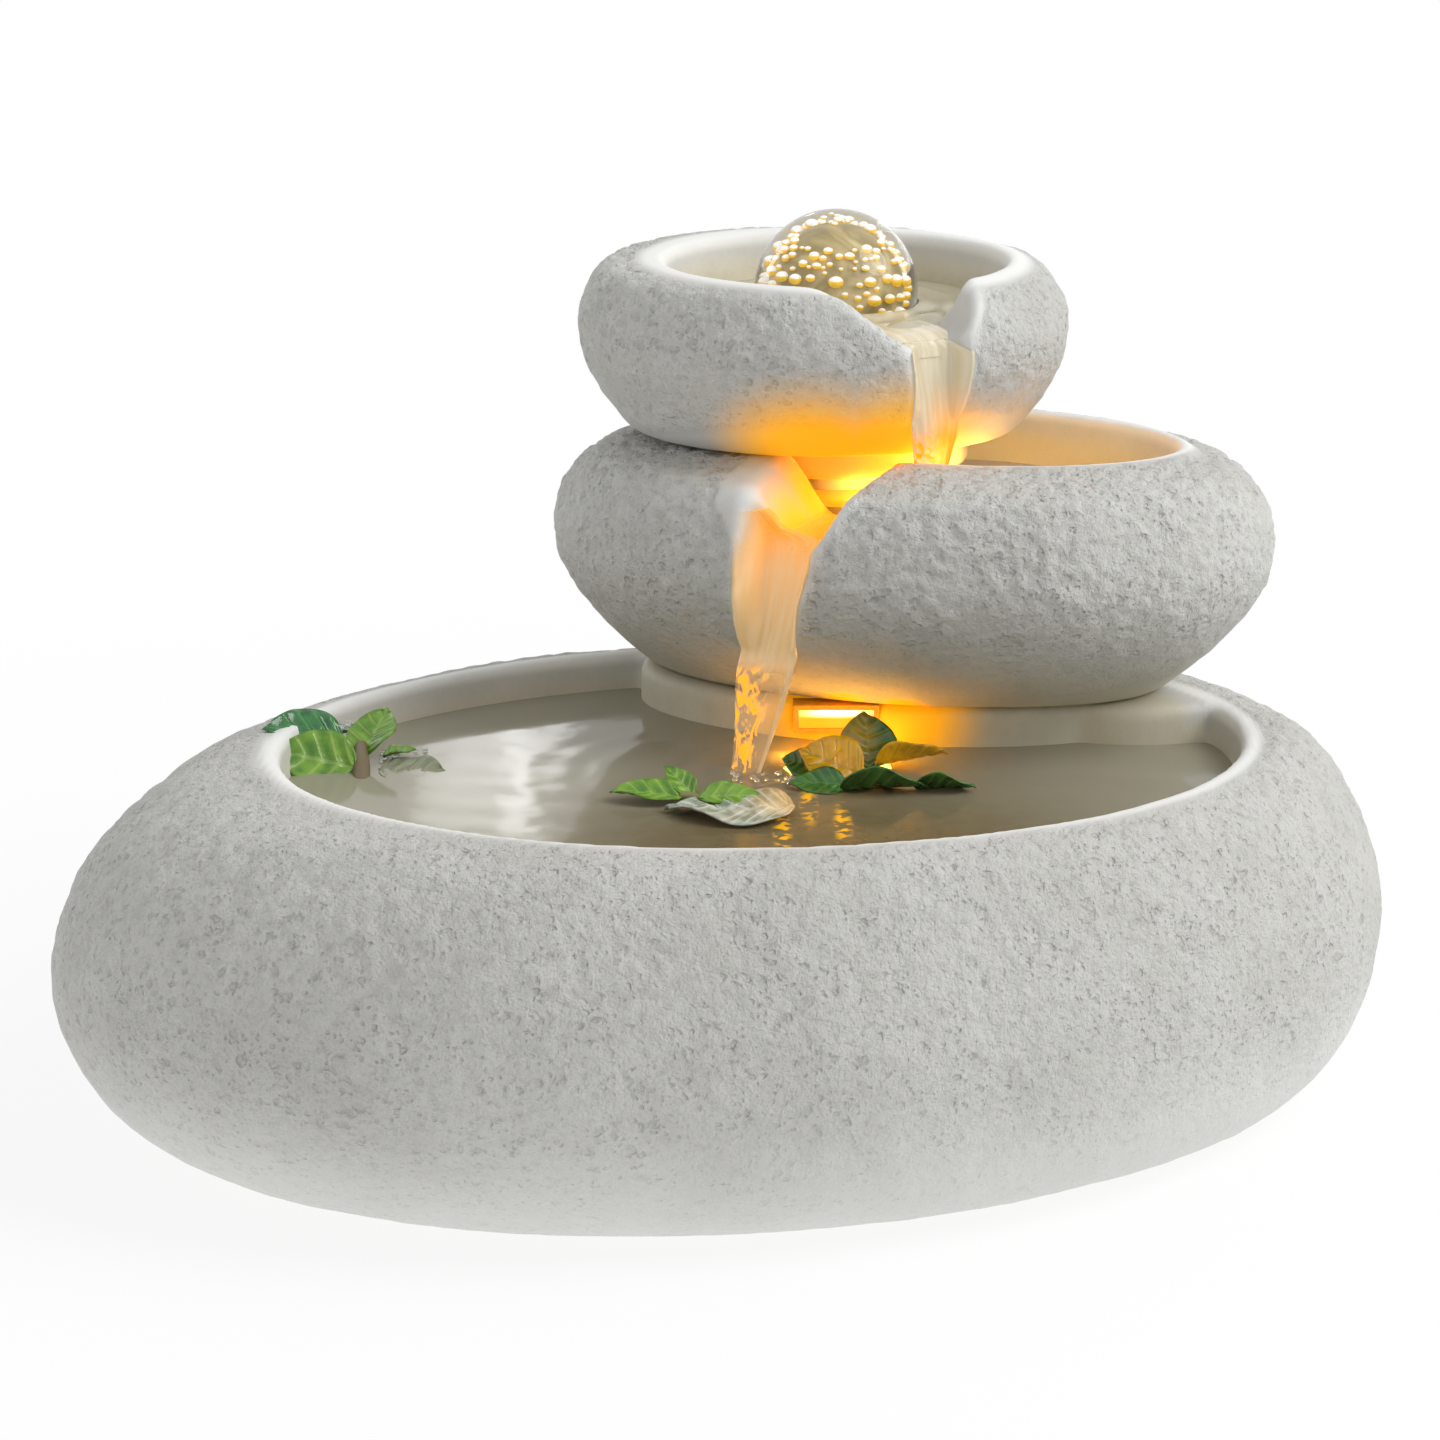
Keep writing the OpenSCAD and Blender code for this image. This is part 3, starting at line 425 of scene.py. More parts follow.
basin_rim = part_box("basin")[1].z
middle_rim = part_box("middle_bowl")[1].z
top_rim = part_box("top_bowl")[1].z
pool_mouth = Oval(198, 143.4, (7, -1.8), 7)
middle_mouth = Oval(106, 57, (42.9, 45.5), -15.7)
top_mouth = Oval(72.8, 66.6, (22.4, 49.5), -3.5)
middle_spout = Spout((32.4, 41.6), -112, middle_rim - 13 * MM, middle_rim - 39.5 * MM, 40.8, 9.1, 0.43, -4.4,
                     (3, 14.5, 13.5))
top_spout = Spout((22.4, 49), -63, top_rim - 11.5 * MM, top_rim - 29.5 * MM, 37.8, 7.5, -0.24, 0.6,
                  (4.5, 22, 12))
print("rims at", [round(z / MM, 1) for z in (basin_rim, middle_rim, top_rim)])

# %% [markdown]
# ## Skins for the castings
# The CAD castings are true to size but faceted. A voxel remesh turns a copy of each into an even net of
# small quads, a few smoothing steps melt the facets, and then the surface is worked like the real
# mould: long soft undulations first, then hundreds of short chisel dents with a direction of their own.
# The dents are real geometry, found with a search tree, so the outline itself looks hammered.

# %% Remesh and smooth
def evaluated_copy(source, name, modifiers):
    """A new object with the source's mesh after some modifiers. Each is (type, settings)."""
    made = add_object(name, source.data.copy())
    for kind, settings in modifiers:
        modifier = made.modifiers.new(kind.lower(), kind)
        for key, value in settings.items():
            setattr(modifier, key, value)
    graph = bpy.context.evaluated_depsgraph_get()
    mesh = bpy.data.meshes.new_from_object(made.evaluated_get(graph))
    made.modifiers.clear()
    made.data = mesh
    mesh.name = name
    return made


def mesh_arrays(mesh):
    points = np.empty(len(mesh.vertices) * 3)
    normals = np.empty(len(mesh.vertices) * 3)
    mesh.vertices.foreach_get("co", points)
    mesh.vertices.foreach_get("normal", normals)
    return points.reshape(-1, 3), normals.reshape(-1, 3)


def write_points(mesh, points):
    mesh.vertices.foreach_set("co", points.ravel())
    mesh.update()


def write_mask(mesh, name, values):
    layer = mesh.attributes.new(name, "FLOAT", "POINT")
    layer.data.foreach_set("value", np.asarray(values, dtype=np.float32))


def smooth_step(x):
    x = np.clip(x, 0, 1)
    return x * x * (3 - 2 * x)


def shade_smooth(mesh):
    mesh.polygons.foreach_set("use_smooth", np.ones(len(mesh.polygons), dtype=bool))


def add_mesh(name, points, faces):
    """A smooth shaded object made of points and faces."""
    mesh = bpy.data.meshes.new(name)
    mesh.from_pydata(points, [], faces)
    mesh.validate()
    mesh.update()
    shade_smooth(mesh)
    return add_object(name, mesh)


def add_balls(name, balls, segments, rings):
    """One smooth shaded object made of balls. Each is (centre, radius, squeeze in height)."""
    build = bmesh.new()
    for centre, radius, squeeze in balls:
        made = bmesh.ops.create_uvsphere(build, u_segments=segments, v_segments=rings, radius=radius)
        for vertex in made["verts"]:
            vertex.co.z *= squeeze
            vertex.co += Vector(centre)
    mesh = bpy.data.meshes.new(name)
    build.to_mesh(mesh)
    build.free()
    shade_smooth(mesh)
    return add_object(name, mesh)


# %% Soft noise in space
def wave_noise(points, size, seed, waves=24):
    """Smooth noise from a sum of random plane waves, about -1 to 1, with bumps of the given size."""
    rng = np.random.default_rng(seed)
    heading = rng.normal(size=(waves, 3))
    heading /= np.linalg.norm(heading, axis=1, keepdims=True)
    pace = 2 * math.pi / size * rng.uniform(0.6, 1.4, waves)
    phase = rng.uniform(0, 2 * math.pi, waves)
    total = np.zeros(len(points))
    for direction, speed, shift in zip(heading, pace, phase):
        total += np.sin(points @ direction * speed + shift)
    return total / math.sqrt(waves)


# %% Chisel dents
def chisel(points, normals, rough, count, length, width, depth, seed):
    """Presses short dents into the rough zones. Returns how far each point moves inwards."""
    rng = np.random.default_rng(seed)
    tree = kdtree.KDTree(len(points))
    for index, point in enumerate(points):
        tree.insert(point, index)
    tree.balance()
    candidates = np.flatnonzero(rough > 0.6)
    press = np.zeros(len(points))
    for centre in rng.choice(candidates, count):
        normal = normals[centre]
        side = np.cross(normal, rng.normal(size=3))
        side /= np.linalg.norm(side)
        half_length = length * rng.uniform(0.45, 1.1)
        half_width = width * rng.uniform(0.7, 1.2)
        found = tree.find_range(points[centre], half_length * 1.6)
        near = np.fromiter((index for _, index, _ in found), dtype=int)
        offset = points[near] - points[centre]
        lengthways = offset @ side
        sideways = offset @ np.cross(normal, side)
        bowl = np.exp(-((lengthways / half_length) ** 2 * 1.6) - (sideways / half_width) ** 2 * 1.6)
        press[near] = np.maximum(press[near], bowl * depth * rng.uniform(0.4, 1.0))
    return press * rough


# %% [markdown]
# The zone mask is one for hammered stone and zero for smooth stone. It fades over a few millimetres at
# the lip, at the edge of a spout's channel and towards the sole, where a casting is always cleaner.

# %% Zone masks
def zone_mask(points, mouth, spout, lip, sole_z, fade):
    mask = smooth_step((mouth.outside(points) - lip) / (2.5 * MM))
    if spout is not None:
        across, along = spout.split(points)
        left, right = spout.sides(points[:, 2])
        flare = 5 * MM * smooth_step((points[:, 2] - spout.sill_z) / (9 * MM))
        outside = np.maximum(left - flare - across, across - right - flare)
        channel = smooth_step((outside + 0.6 * MM) / (2.2 * MM))
        below = smooth_step((spout.end_z + 1 * MM - points[:, 2]) / (3 * MM))
        mask = np.where(along > 0, mask * np.maximum(channel, below), mask)
    return mask * (0.35 + 0.65 * smooth_step((points[:, 2] - sole_z) / fade))


def bulge(mesh, points, normals, voxel, rounds=16):
    """How sharply the surface bulges out at each vertex, evened out over its neighbours."""
    ends = np.empty(len(mesh.edges) * 2, dtype=np.int64)
    mesh.edges.foreach_get("vertices", ends)
    a, b = ends.reshape(-1, 2).T
    count = len(points)
    degree = np.bincount(a, minlength=count) + np.bincount(b, minlength=count)

    def around(values):
        return (np.bincount(a, values[b], count) + np.bincount(b, values[a], count)) / degree

    out = sum((points[:, k] - around(points[:, k])) * normals[:, k] for k in range(3))
    for _ in range(rounds):
        out = (out + around(out)) / 2
    return out / voxel ** 2 * MM


def pebble_skin(node_name, name, body, voxel, smoothing, mouth, spout, lip, dents, glows, drip,
                sole_bounce_light=0.0):
    """A hammered stone skin that takes the place of a CAD casting. glows are (x, y, z, radius) of the
    lamp light painted on it, drip is how far up from its sole the stone keeps its damp tint with painted
    fill light, and the last argument how much light bounced up from the floor is painted on low down."""
    skin = evaluated_copy(nodes[node_name], name, [
        ("REMESH", {"mode": "VOXEL", "voxel_size": voxel}),
        ("SMOOTH", {"factor": 0.5, "iterations": smoothing}),
    ])
    points, normals = mesh_arrays(skin.data)
    low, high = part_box(node_name)
    rise = points[:, 2] - low.z
    share = rise / (high.z - low.z)
    outwards = mouth.outside(points)
    rough = zone_mask(points, mouth, spout, lip, low.z + 2 * MM, (high.z - low.z) * 0.5)

    shift = 0.22 * MM * wave_noise(points, 34 * MM, 1) + 0.1 * MM * wave_noise(points, 11 * MM, 2)
    shift = shift * (0.25 + 0.75 * rough) + 0.1 * MM * wave_noise(points, 4.5 * MM, 3) * rough
    upper = 0.3 + 0.7 * smooth_step(share * 1.5 - 0.35)
    shift -= chisel(points, normals, rough, *dents, seed=4) * upper

    # Painted highlight: bulging edges and a band along the rim are painted lighter, in the upper part only.
    painted_edge_highlight = 0.55 * smooth_step((bulge(skin.data, points, normals, voxel) - 0.02) / 0.045)
    band = smooth_step(1.6 - np.abs(outwards - 0.3 * lip) / (0.6 * lip))
    painted_edge_highlight = np.maximum(painted_edge_highlight, 0.9 * band * smooth_step((points[:, 2] - high.z + 3.5 * MM) / (2 * MM)))
    painted_edge_highlight = painted_edge_highlight * smooth_step((outwards + 6 * MM) / (3 * MM))
    # Painted light bounced up from the floor: lighter towards the sole.
    sole = sole_bounce_light * (1 - smooth_step(share / 0.45))
    highlight_and_bounce = np.maximum(painted_edge_highlight * smooth_step(share * 3 - 0.6), sole)

    # The damp tint inside the pool and low on the bowl, whose colour, raised above one, also paints in fill
    # light there.
    inside = smooth_step(-outwards / (3 * MM))
    far_in = smooth_step((-outwards - 3 * MM) / (5 * MM))
    under = np.maximum(inside * smooth_step((high.z - 1.5 * MM - points[:, 2]) / (5 * MM)), 0.9 * far_in)
    damp_and_fill = np.maximum(under, 0.55 * (1 - smooth_step(rise / drip)))
    glow = np.zeros(len(points))
    for x, y, z, radius in glows:
        away = np.linalg.norm(points - np.array([x, y, z]) * MM, axis=1)
        glow = np.maximum(glow, 1 - smooth_step((away / (radius * MM) - 0.35) / 0.65))

    write_points(skin.data, points + normals * shift[:, None])
    for label, values in (("rough", rough), ("lip", highlight_and_bounce), ("damp_and_fill", damp_and_fill), ("glow", glow)):
        write_mask(skin.data, label, values)
    shade_smooth(skin.data)
    dress(skin, stone)
    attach(skin, body)
    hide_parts(node_name)
    print(name, len(skin.data.polygons), "faces")
    return skin


# %% The three pebbles
# Dents are (how many, length, width, depth).
pebble_skin("basin", "basin_stone", "base", 1.3 * MM, 6, pool_mouth, None, 2.8 * MM,
            (7500, 2.7 * MM, 1.2 * MM, 0.7 * MM), [(22.5, 22, 75, 24), (36, 22, 76, 20)], 1 * MM, 0.55)
middle_skin = pebble_skin(
    "middle_bowl", "middle_stone", "middle", 0.85 * MM, 13, middle_mouth, middle_spout, 2.0 * MM,
    (4800, 2.9 * MM, 1.1 * MM, 0.95 * MM),
    [(23, 22, 122, 18), (38, 26, 119, 18), (16, 9, 114, 20), (24, 20, 77, 8), (36, 18, 77, 7)], 17 * MM)
top_skin = pebble_skin(
    "top_bowl", "top_stone", "top", 0.7 * MM, 15, top_mouth, top_spout, 4.5 * MM,
    (3000, 2.3 * MM, 0.9 * MM, 0.7 * MM), [(17, 14, 130, 26), (34, 14, 130, 26)], 12 * MM)

# %% [markdown]
# ## Water
# Each pool holds a thin skin of water a little below its rim. A skin is a fan of rings between two
# outlines, so that it can leave a hole for the ball, and a ripple function lifts its points. The water
# is murky: mostly tan, slightly see-through, and it mirrors the bright room. Only the water over the
# pump is clean, so that the pump shows when the bowls are lifted off. A glow group adds the warm
# light that the lamps throw into it.

# %% Water skins
def ring_mesh(name, inner, outer, z, rings, spokes, lift):
    """A mesh between two closed outlines, given as functions of an angle, with ripples from lift."""
    angles = np.linspace(0, 2 * math.pi, spokes, endpoint=False)
    start = np.array([inner(a) for a in angles])
    end = np.array([outer(a) for a in angles])
    share = np.linspace(0, 1, rings)[:, None, None]
    plan = (start + (end - start) * share).reshape(-1, 2)
    points = np.column_stack([plan, z + lift(plan)])
    faces = []
    for first in range(0, (rings - 1) * spokes, spokes):
        for i in range(spokes):
            a, b = first + i, first + (i + 1) % spokes
            faces.append((a + spokes, b + spokes, b, a))
    return add_mesh(name, points.tolist(), faces)


def ripples(sources, breeze, seed):
    """A lift function: rings round each source (x, y, height, length, reach) on a gentle breeze."""
    def lift(plan):
        flat = np.column_stack([plan, np.zeros(len(plan))])
        total = breeze * wave_noise(flat, 16 * MM, seed)
        for x, y, height, length, reach in sources:
            away = np.hypot(plan[:, 0] - x * MM, plan[:, 1] - y * MM)
            total += height * MM * np.cos(away / (length * MM) * 2 * math.pi) * np.exp(-away / (reach * MM))
        return total
    return lift


# %% Water material
def glow_group():
    """One near a centre and zero beyond a radius, with a flicker of noise, for light under water."""
    tree, inp, out = new_group(
        "lamp_glow",
        [("Vector", "v", None), ("Centre", "v", (0, 0, 0)), ("Radius", "f", 0.03), ("Flicker", "f", 0.3)],
        [("Mask", "f")],
    )
    away = vector_math("DISTANCE", inp["Vector"], inp["Centre"])["Value"]
    near = ramp(math_node("DIVIDE", away, inp["Radius"]), 0.25, 1.0, 1.0, 0.0)
    flicker = times(ramp(noise(inp["Vector"], 240.0, 2.0), 0.35, 0.65), inp["Flicker"])
    wire(out, Mask=times(near, math_node("SUBTRACT", 1.0, flicker)))
    return tree


LAMP_GLOW = glow_group()


def glow_mask(vector, centre, radius, flicker):
    return place_group(LAMP_GLOW, Vector=vector, Centre=centre, Radius=radius, Flicker=flicker)["Mask"]


def box_mask(vector, low_x, low_y, high_x, high_y, fade=2 * MM):
    """One inside a box in plan."""
    place = axes(vector)
    sides = []
    for axis, low, high in (("X", low_x, high_x), ("Y", low_y, high_y)):
        past_low = ramp(place[axis], low, low + fade)
        past_high = ramp(place[axis], high, high + fade)
        sides.append(math_node("SUBTRACT", past_low, past_high))
    return times(*sides)


def water_material(name, colour, deep, alpha, rough, glow_at, glow_radius, glow_power, deep_at, streaks=(),
                   clean=None, clean_alpha=0.3, stretch=8.0):
    """glow_at is where a lamp lights the water, streaks are the (x, y) of its long broken reflections and
    clean is a box in plan (low x, low y, high x, high y) where the water is clear."""
    material, tree, shader = new_material(name, Roughness=rough, IOR=1.33, Alpha=alpha,
                                          Emission_Color=(1.0, 0.42, 0.0), Specular_IOR_Level=0.32)
    coords = object_coords(tree)
    base = mix_colour(glow_mask(coords, deep_at, 85 * MM, 0.08), colour, deep)
    glow = glow_mask(coords, glow_at, glow_radius, 0.3)
    if streaks:
        narrow = vector_math("MULTIPLY", coords, (stretch, 1.0, 1.0))["Vector"]
        broken = ramp(noise(coords, 330.0, 1.0, Distortion=0.5), 0.45, 0.57)
        for x, y in streaks:
            streak = glow_mask(narrow, (stretch * x, y, glow_at[2]), 19 * MM, 0.0)
            glow = larger(glow, times(streak, broken))
    if glow_power:
        base = mix_colour(times(glow, 0.9), base, LIT_GOLD)
    wire(shader, Base_Color=base, Emission_Strength=times(glow, glow_power))
    if clean:
        inside = box_mask(coords, *clean)
        wire(shader, Alpha=times_plus(inside, clean_alpha - alpha, alpha))
    bump(shader, noise(coords, 90.0, 2.0), 0.05, 1.0 * MM)
    return material


# %% Three pools of water
WATER_BELOW_RIM = 8 * MM
basin_level = basin_rim - WATER_BELOW_RIM
middle_level = middle_spout.sill_z + 1.7 * MM
top_level = top_spout.sill_z + 1.8 * MM
way = (22.5 * MM, 50 * MM)
landing = (5.5, -3.0)


def edge(oval, shrink):
    """An oval's outline moved in by a distance."""
    share = 1 - shrink / oval.half.mean()
    return lambda a: oval.point(a, share)


def round_way(radius):
    """A circle round the water's way up."""
    return lambda a: (way[0] + radius * math.cos(a), way[1] + radius * math.sin(a))


basin_water = ring_mesh("basin_water", round_way(0.5 * MM), edge(pool_mouth, 0.9 * MM), basin_level, 90, 220,
                        ripples([(*landing, 0.3, 8, 13)], 0.012 * MM, 5))
cover_low, pump_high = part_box("pump_cover")[0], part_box("pump_housing")[1]
well = (cover_low.x - 7 * MM, way[1] - 18 * MM, pump_high.x + 4 * MM, way[1] + 16 * MM)
dress(basin_water, water_material("murky_water", (0.37, 0.348, 0.262), (0.17, 0.13, 0.06), 0.85, 0.09,
                                  (0.024, 0.012, basin_level), 20 * MM, 0.3, (0.02, -0.06, basin_level),
                                  ((0.0225, -0.036), (0.0105, -0.041), (0.016, -0.022)), well))
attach(basin_water, "base")

middle_water = ring_mesh("middle_water", round_way(1.5 * MM), edge(middle_mouth, 2.0 * MM), middle_level,
                         50, 140, ripples([(38, 24, 0.45, 7, 12)], 0.08 * MM, 6))
dress(middle_water, water_material("lit_water", (0.5, 0.4, 0.27), (0.5, 0.4, 0.27), 0.85, 0.06,
                                   (0.026, 0.024, middle_level), 36 * MM, 0.35, (0.03, 0.03, middle_level)))
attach(middle_water, "middle")

ball_low, ball_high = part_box("glass_ball")
ball_radius = (ball_high.z - ball_low.z) / 2
ball_centre = (ball_low + ball_high) / 2
hole = math.sqrt(ball_radius ** 2 - (top_level - ball_centre.z) ** 2) + 0.3 * MM
top_water = ring_mesh("top_water", round_way(hole), edge(top_mouth, 1.6 * MM), top_level, 40, 140,
                      ripples([(36, 24, 0.9, 13, 10), (22.5, 50, 0.5, 6, 18)], 0.1 * MM, 7))
dress(top_water, water_material("top_water", (0.62, 0.57, 0.42), (0.62, 0.57, 0.42), 0.8, 0.06,
                                (0.03, 0.03, top_level), 10 * MM, 0.0, (0.03, 0.03, top_level)))
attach(top_water, "top")
print("water levels", [round(v / MM, 1) for v in (basin_level, middle_level, top_level)])

# %% [markdown]
# ## The falls
# A fall is a closed sheet swept along a path: down the chute, then free. Each row of the path says how
# far it reaches to either side, how far out it is and how thick. Where the stone stands further out
# than the row, the sheet climbs over it as a thin film, so it fills its chute from lip to lip. Two
# attributes, down and over, run along and across the sheet and drive its colour: lit amber, milky in
# the chute, and clear with warm glints in the open. A short tongue joins each sheet to its pool.

# %% Swept sheets
def smooth_rows(rows, count):
    """Rows of numbers, resampled evenly and rounded off."""
    rows = np.array(rows, dtype=float)
    steps = np.linspace(0, len(rows) - 1, count)
    dense = np.column_stack([np.interp(steps, np.arange(len(rows)), column) for column in rows.T])
    for _ in range(6):
        dense[1:-1] = (dense[:-2] + dense[1:-1] * 2 + dense[2:]) / 4
    return dense


def chute_rows(spout, steps, thick, first, last, spill=0.0):
    """Rows from the sill to the end of the chute, as wide as the chute. The water may spill to the left."""
    rows = []
    for share in np.linspace(0.08, 1, steps):
        z = spout.sill_z + (spout.end_z - spout.sill_z) * share
        left, right = spout.sides(z)
        rows.append([left / MM + 0.4 - spill * share ** 2, right / MM - 0.3, spout.chute / MM + 1, z / MM,
                     thick, first + (last - first) * share])
    return rows


def stone_reach(surface, spout, across, z):
    """How far out the stone stands at some places across a spout, seen from the front of the spout."""
    start = 90
    heading = Vector((*-spout.along, 0))
    reach = []
    for u in across:
        hit = surface.ray_cast(spout.at(u * MM, start * MM, z * MM), heading)
        reach.append(0.0 if hit[0] is None else start - hit[3] / MM)
    return np.array(reach)


def sheet_faces(rows, width):
    """Faces of a closed sheet: a front and a back net of rows, joined along their edges."""
    back = rows * width
    front_net = [(a, a + 1, a + width + 1, a + width)
                 for r in range(rows - 1) for a in range(r * width, r * width + width - 1)]
    faces = [face[::-1] for face in front_net]
    faces += [tuple(back + a for a in face) for face in front_net]
    for a in range(0, (rows - 1) * width, width):
        faces.append((a, back + a, back + a + width, a + width))
        a += width - 1
        faces.append((a, a + width, back + a + width, back + a))
    for a in range(width - 1):
        faces.append((a, a + 1, back + a + 1, back + a))
    for a in range(back - width, back - 1):
        faces.append((a, back + a, back + a + 1, a + 1))
    return faces


def fall_mesh(name, spout, rows, seed, stone=None, count=90, width=26):
    """A closed sheet of water. Each row is [left, right, along, z, thickness, down] in millimetres."""
    film_thickness, film_reach = 0.35, 13
    dense = smooth_rows(rows, count)
    share = np.linspace(0, 1, width)
    profile = np.sqrt(np.clip(1 - (2 * share - 1) ** 2, 0, 1))
    streak = wave_noise(np.column_stack([share * 6, np.zeros(width), np.zeros(width)]), 1.0, seed)
    surface = BVHTree.FromObject(stone, bpy.context.evaluated_depsgraph_get()) if stone else None
    points, down, over = [], [], []
    for side in (1, -1):
        for left, right, along, z, thick, depth in dense:
            across = left + (right - left) * share
            out = along + side * thick * profile * 0.5 + side * 0.18 * streak * min(1, thick)
            if surface and side == 1:
                film = stone_reach(surface, spout, across, z) + film_thickness
                out = np.where(film < along + film_reach, np.maximum(out, film), out)
            xy = spout.axis + (across * MM)[:, None] * spout.across + (out * MM)[:, None] * spout.along
            points += [(x, y, z * MM) for x, y in xy]
            down += [depth] * width
            over += share.tolist()
    made = add_mesh(name, points, sheet_faces(len(dense), width))
    write_mask(made.data, "down", down)
    write_mask(made.data, "over", over)
    return made


def fall_material(name, milky, free_alpha, lit_span, lit_power, glint_power, shine, start_span):
    """Water in motion. lit_span is (down, down, lit, lit): amber light along the chute. start_span is
    (down, down, alpha): how the sheet fades in. free_alpha is its alpha in the open."""
    material, tree, shader = new_material(name, Roughness=0.1, IOR=1.33, Specular_IOR_Level=0.6)
    down, over = attribute(tree, "down"), attribute(tree, "over")

    def plane(across, along):
        """The sheet laid flat, stretched either way."""
        wide, long = times(over, across), times(down, along)
        return node(tree, "ShaderNodeCombineXYZ", wide, long).outputs[0]

    streaks = noise(plane(5.0, 1.6), 1.8, 2.0, Distortion=0.3)
    knots = noise(plane(3.2, 9.0), 1.7, 2.0, Distortion=1.2)
    streak = ramp(streaks, 0.35, 0.65)
    free = ramp(down, 0.6, 0.7)
    lit = times(ramp(down, *lit_span), ramp(over, 0.1, 0.7, 0.2, 1.0))
    glint = times(ramp(knots, 0.43, 0.6), free)
    glint = times(glint, ramp(over, 0.5, 0.75, 1.0, 0.0))
    gold = larger(lit, glint)

    pale = tuple(0.45 + 0.55 * c for c in milky)
    body = mix_colour(times(streak, 0.35), milky, pale)
    start = ramp(times_plus(over, 0.18, down), *start_span, 0.86)
    solid = times_plus(streak, 0.08, start)
    clear = times_plus(ramp(over, 0.86, 0.95), 0.5, free_alpha)
    alpha = node(tree, "ShaderNodeMix", Factor=free, A=solid, B=clear).outputs[0]
    power = times_plus(lit, lit_power, shine)
    wire(shader, Base_Color=mix_colour(gold, body, (0.95, 0.38, 0.0)),
         Alpha=larger(alpha, times(glint, 0.95)),
         Emission_Color=mix_colour(gold, milky, AMBER),
         Emission_Strength=times_plus(glint, glint_power, power))
    bump(shader, streaks, 0.3, 0.8 * MM)
    return material


# %% Lower fall
sill = middle_spout.sill_z / MM
end = middle_spout.end_z / MM
lower_water = fall_material("lower_fall_water", (0.95, 0.68, 0.35), 0.2, (0.04, 0.44, 0.85, 0.0), 0.25, 0.6,
                            0.16, (0.1, 0.36, 0.04))
lower_fall = fall_mesh("lower_fall", middle_spout, [
    *[[-13.4, middle_spout.notch_left(up), 41.6, sill + up, 0.4, 0.1] for up in (6.4, 5, 3.4, 1.8)],
    [-13.3, 2.2, 41.8, sill + 0.3, 0.9, 0.16],
    *chute_rows(middle_spout, 6, 1.6, 0.18, 0.62, 2.6),
    [-16.0, -3.8, 43.0, end - 3, 2.2, 0.7],
    [-15.8, -5.2, 43.9, end - 9, 2.4, 0.78],
    [-15.3, -6.6, 45.2, end - 14, 2.5, 0.86],
    [-15.1, -7.8, 46.8, end - 19, 2.6, 0.94],
    [-15.0, -8.6, 48.2, basin_level / MM - 0.6, 2.8, 1.0],
], 11, middle_skin)
dress(lower_fall, lower_water)
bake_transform(lower_fall)
lower_tongue = fall_mesh("lower_tongue", middle_spout, [
    [-5.2, 4.4, 24.0, sill + 1.3, 0.5, 0.0], [-5.6, 4.8, 32.0, sill + 1.4, 0.8, 0.02],
    [-6.0, 5.0, 38.5, sill + 1.3, 1.0, 0.04], [-6.6, 4.8, 41.4, sill + 0.2, 1.2, 0.08],
    [-7.4, 4.4, 41.9, sill - 2.5, 1.2, 0.14]], 13, None, 40)
dress(lower_tongue, lower_water)
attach(lower_tongue, "middle")

# %% Upper fall
sill = top_spout.sill_z / MM
end = top_spout.end_z / MM
upper_water = fall_material("upper_fall_water", (0.74, 0.65, 0.46), 0.6, (0.3, 0.72, 0.0, 0.95), 0.3, 0.3,
                            0.08, (0.0, 0.1, 0.6))
upper_fall = fall_mesh("upper_fall", top_spout, [
    [-5.0, 4.8, 38.6, sill + 0.4, 1.0, 0.08], [-6.2, 6.4, 38.8, sill - 0.6, 1.3, 0.1],
    *chute_rows(top_spout, 6, 1.5, 0.14, 0.62),
    [-2.6, 7.4, 38.2, end - 3, 1.7, 0.7],
    [-0.8, 6.8, 36.4, end - 9, 2.0, 0.86],
    [0.6, 6.2, 34.0, middle_level / MM - 0.6, 2.2, 1.0],
], 12, top_skin)
dress(upper_fall, upper_water)
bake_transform(upper_fall)
upper_tongue = fall_mesh("upper_tongue", top_spout, [
    [-8.0, 6.8, 24.0, sill + 1.6, 0.5, 0.0], [-8.2, 7.2, 31.0, sill + 1.7, 0.8, 0.02],
    [-7.8, 7.6, 35.5, sill + 1.5, 1.0, 0.04], [-7.0, 7.8, 38.4, sill + 0.1, 1.2, 0.08],
    [-6.6, 7.8, 38.9, sill - 3, 1.2, 0.14]], 14, None, 40)
dress(upper_tongue, upper_water)
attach(upper_tongue, "top")
print("falls:", len(lower_fall.data.polygons), len(upper_fall.data.polygons), "faces")

# %% [markdown]
# ## The glass ball
# A clear shell with a golden liquid heart, which glows a little: painted light. Bubbles hang in it just
# under the shell, painted white where they face the sky, a painted highlight, and gold with a painted glow
# below. A knot of them at the top stands in for a bright refraction, a painted highlight. All of it rides
# on the ball, so it turns on the jet as one.

# %% Ball
def ball_part(name, balls, segments, rings):
    made = add_balls(name, balls, segments, rings)
    made.location = ball_centre
    return made


def bubble_places(count, seed):
    """Flattened beads under the shell, larger low down, and a knot of them at the top that stands in for a
    bright refraction: a painted highlight.
    """
    rng = np.random.default_rng(seed)
    made = []
    while len(made) < count:
        heading = rng.normal(size=3)
        heading /= np.linalg.norm(heading)
        knot = heading[2] > 0.97
        if heading[2] > 0.8 and not knot:
            continue
        size = rng.uniform(0.6, 1.5) * (1.0 if heading[2] < 0.45 else 0.7) * MM
        centre = heading * (ball_radius - (4.6 if knot else 6.6) * MM)
        gap = (-0.4 if knot else 0.02) * MM
        if any(np.linalg.norm(centre - other) < size + reach + gap for other, reach, _ in made):
            continue
        made.append((centre, size, rng.uniform(0.62, 0.85)))
    return made


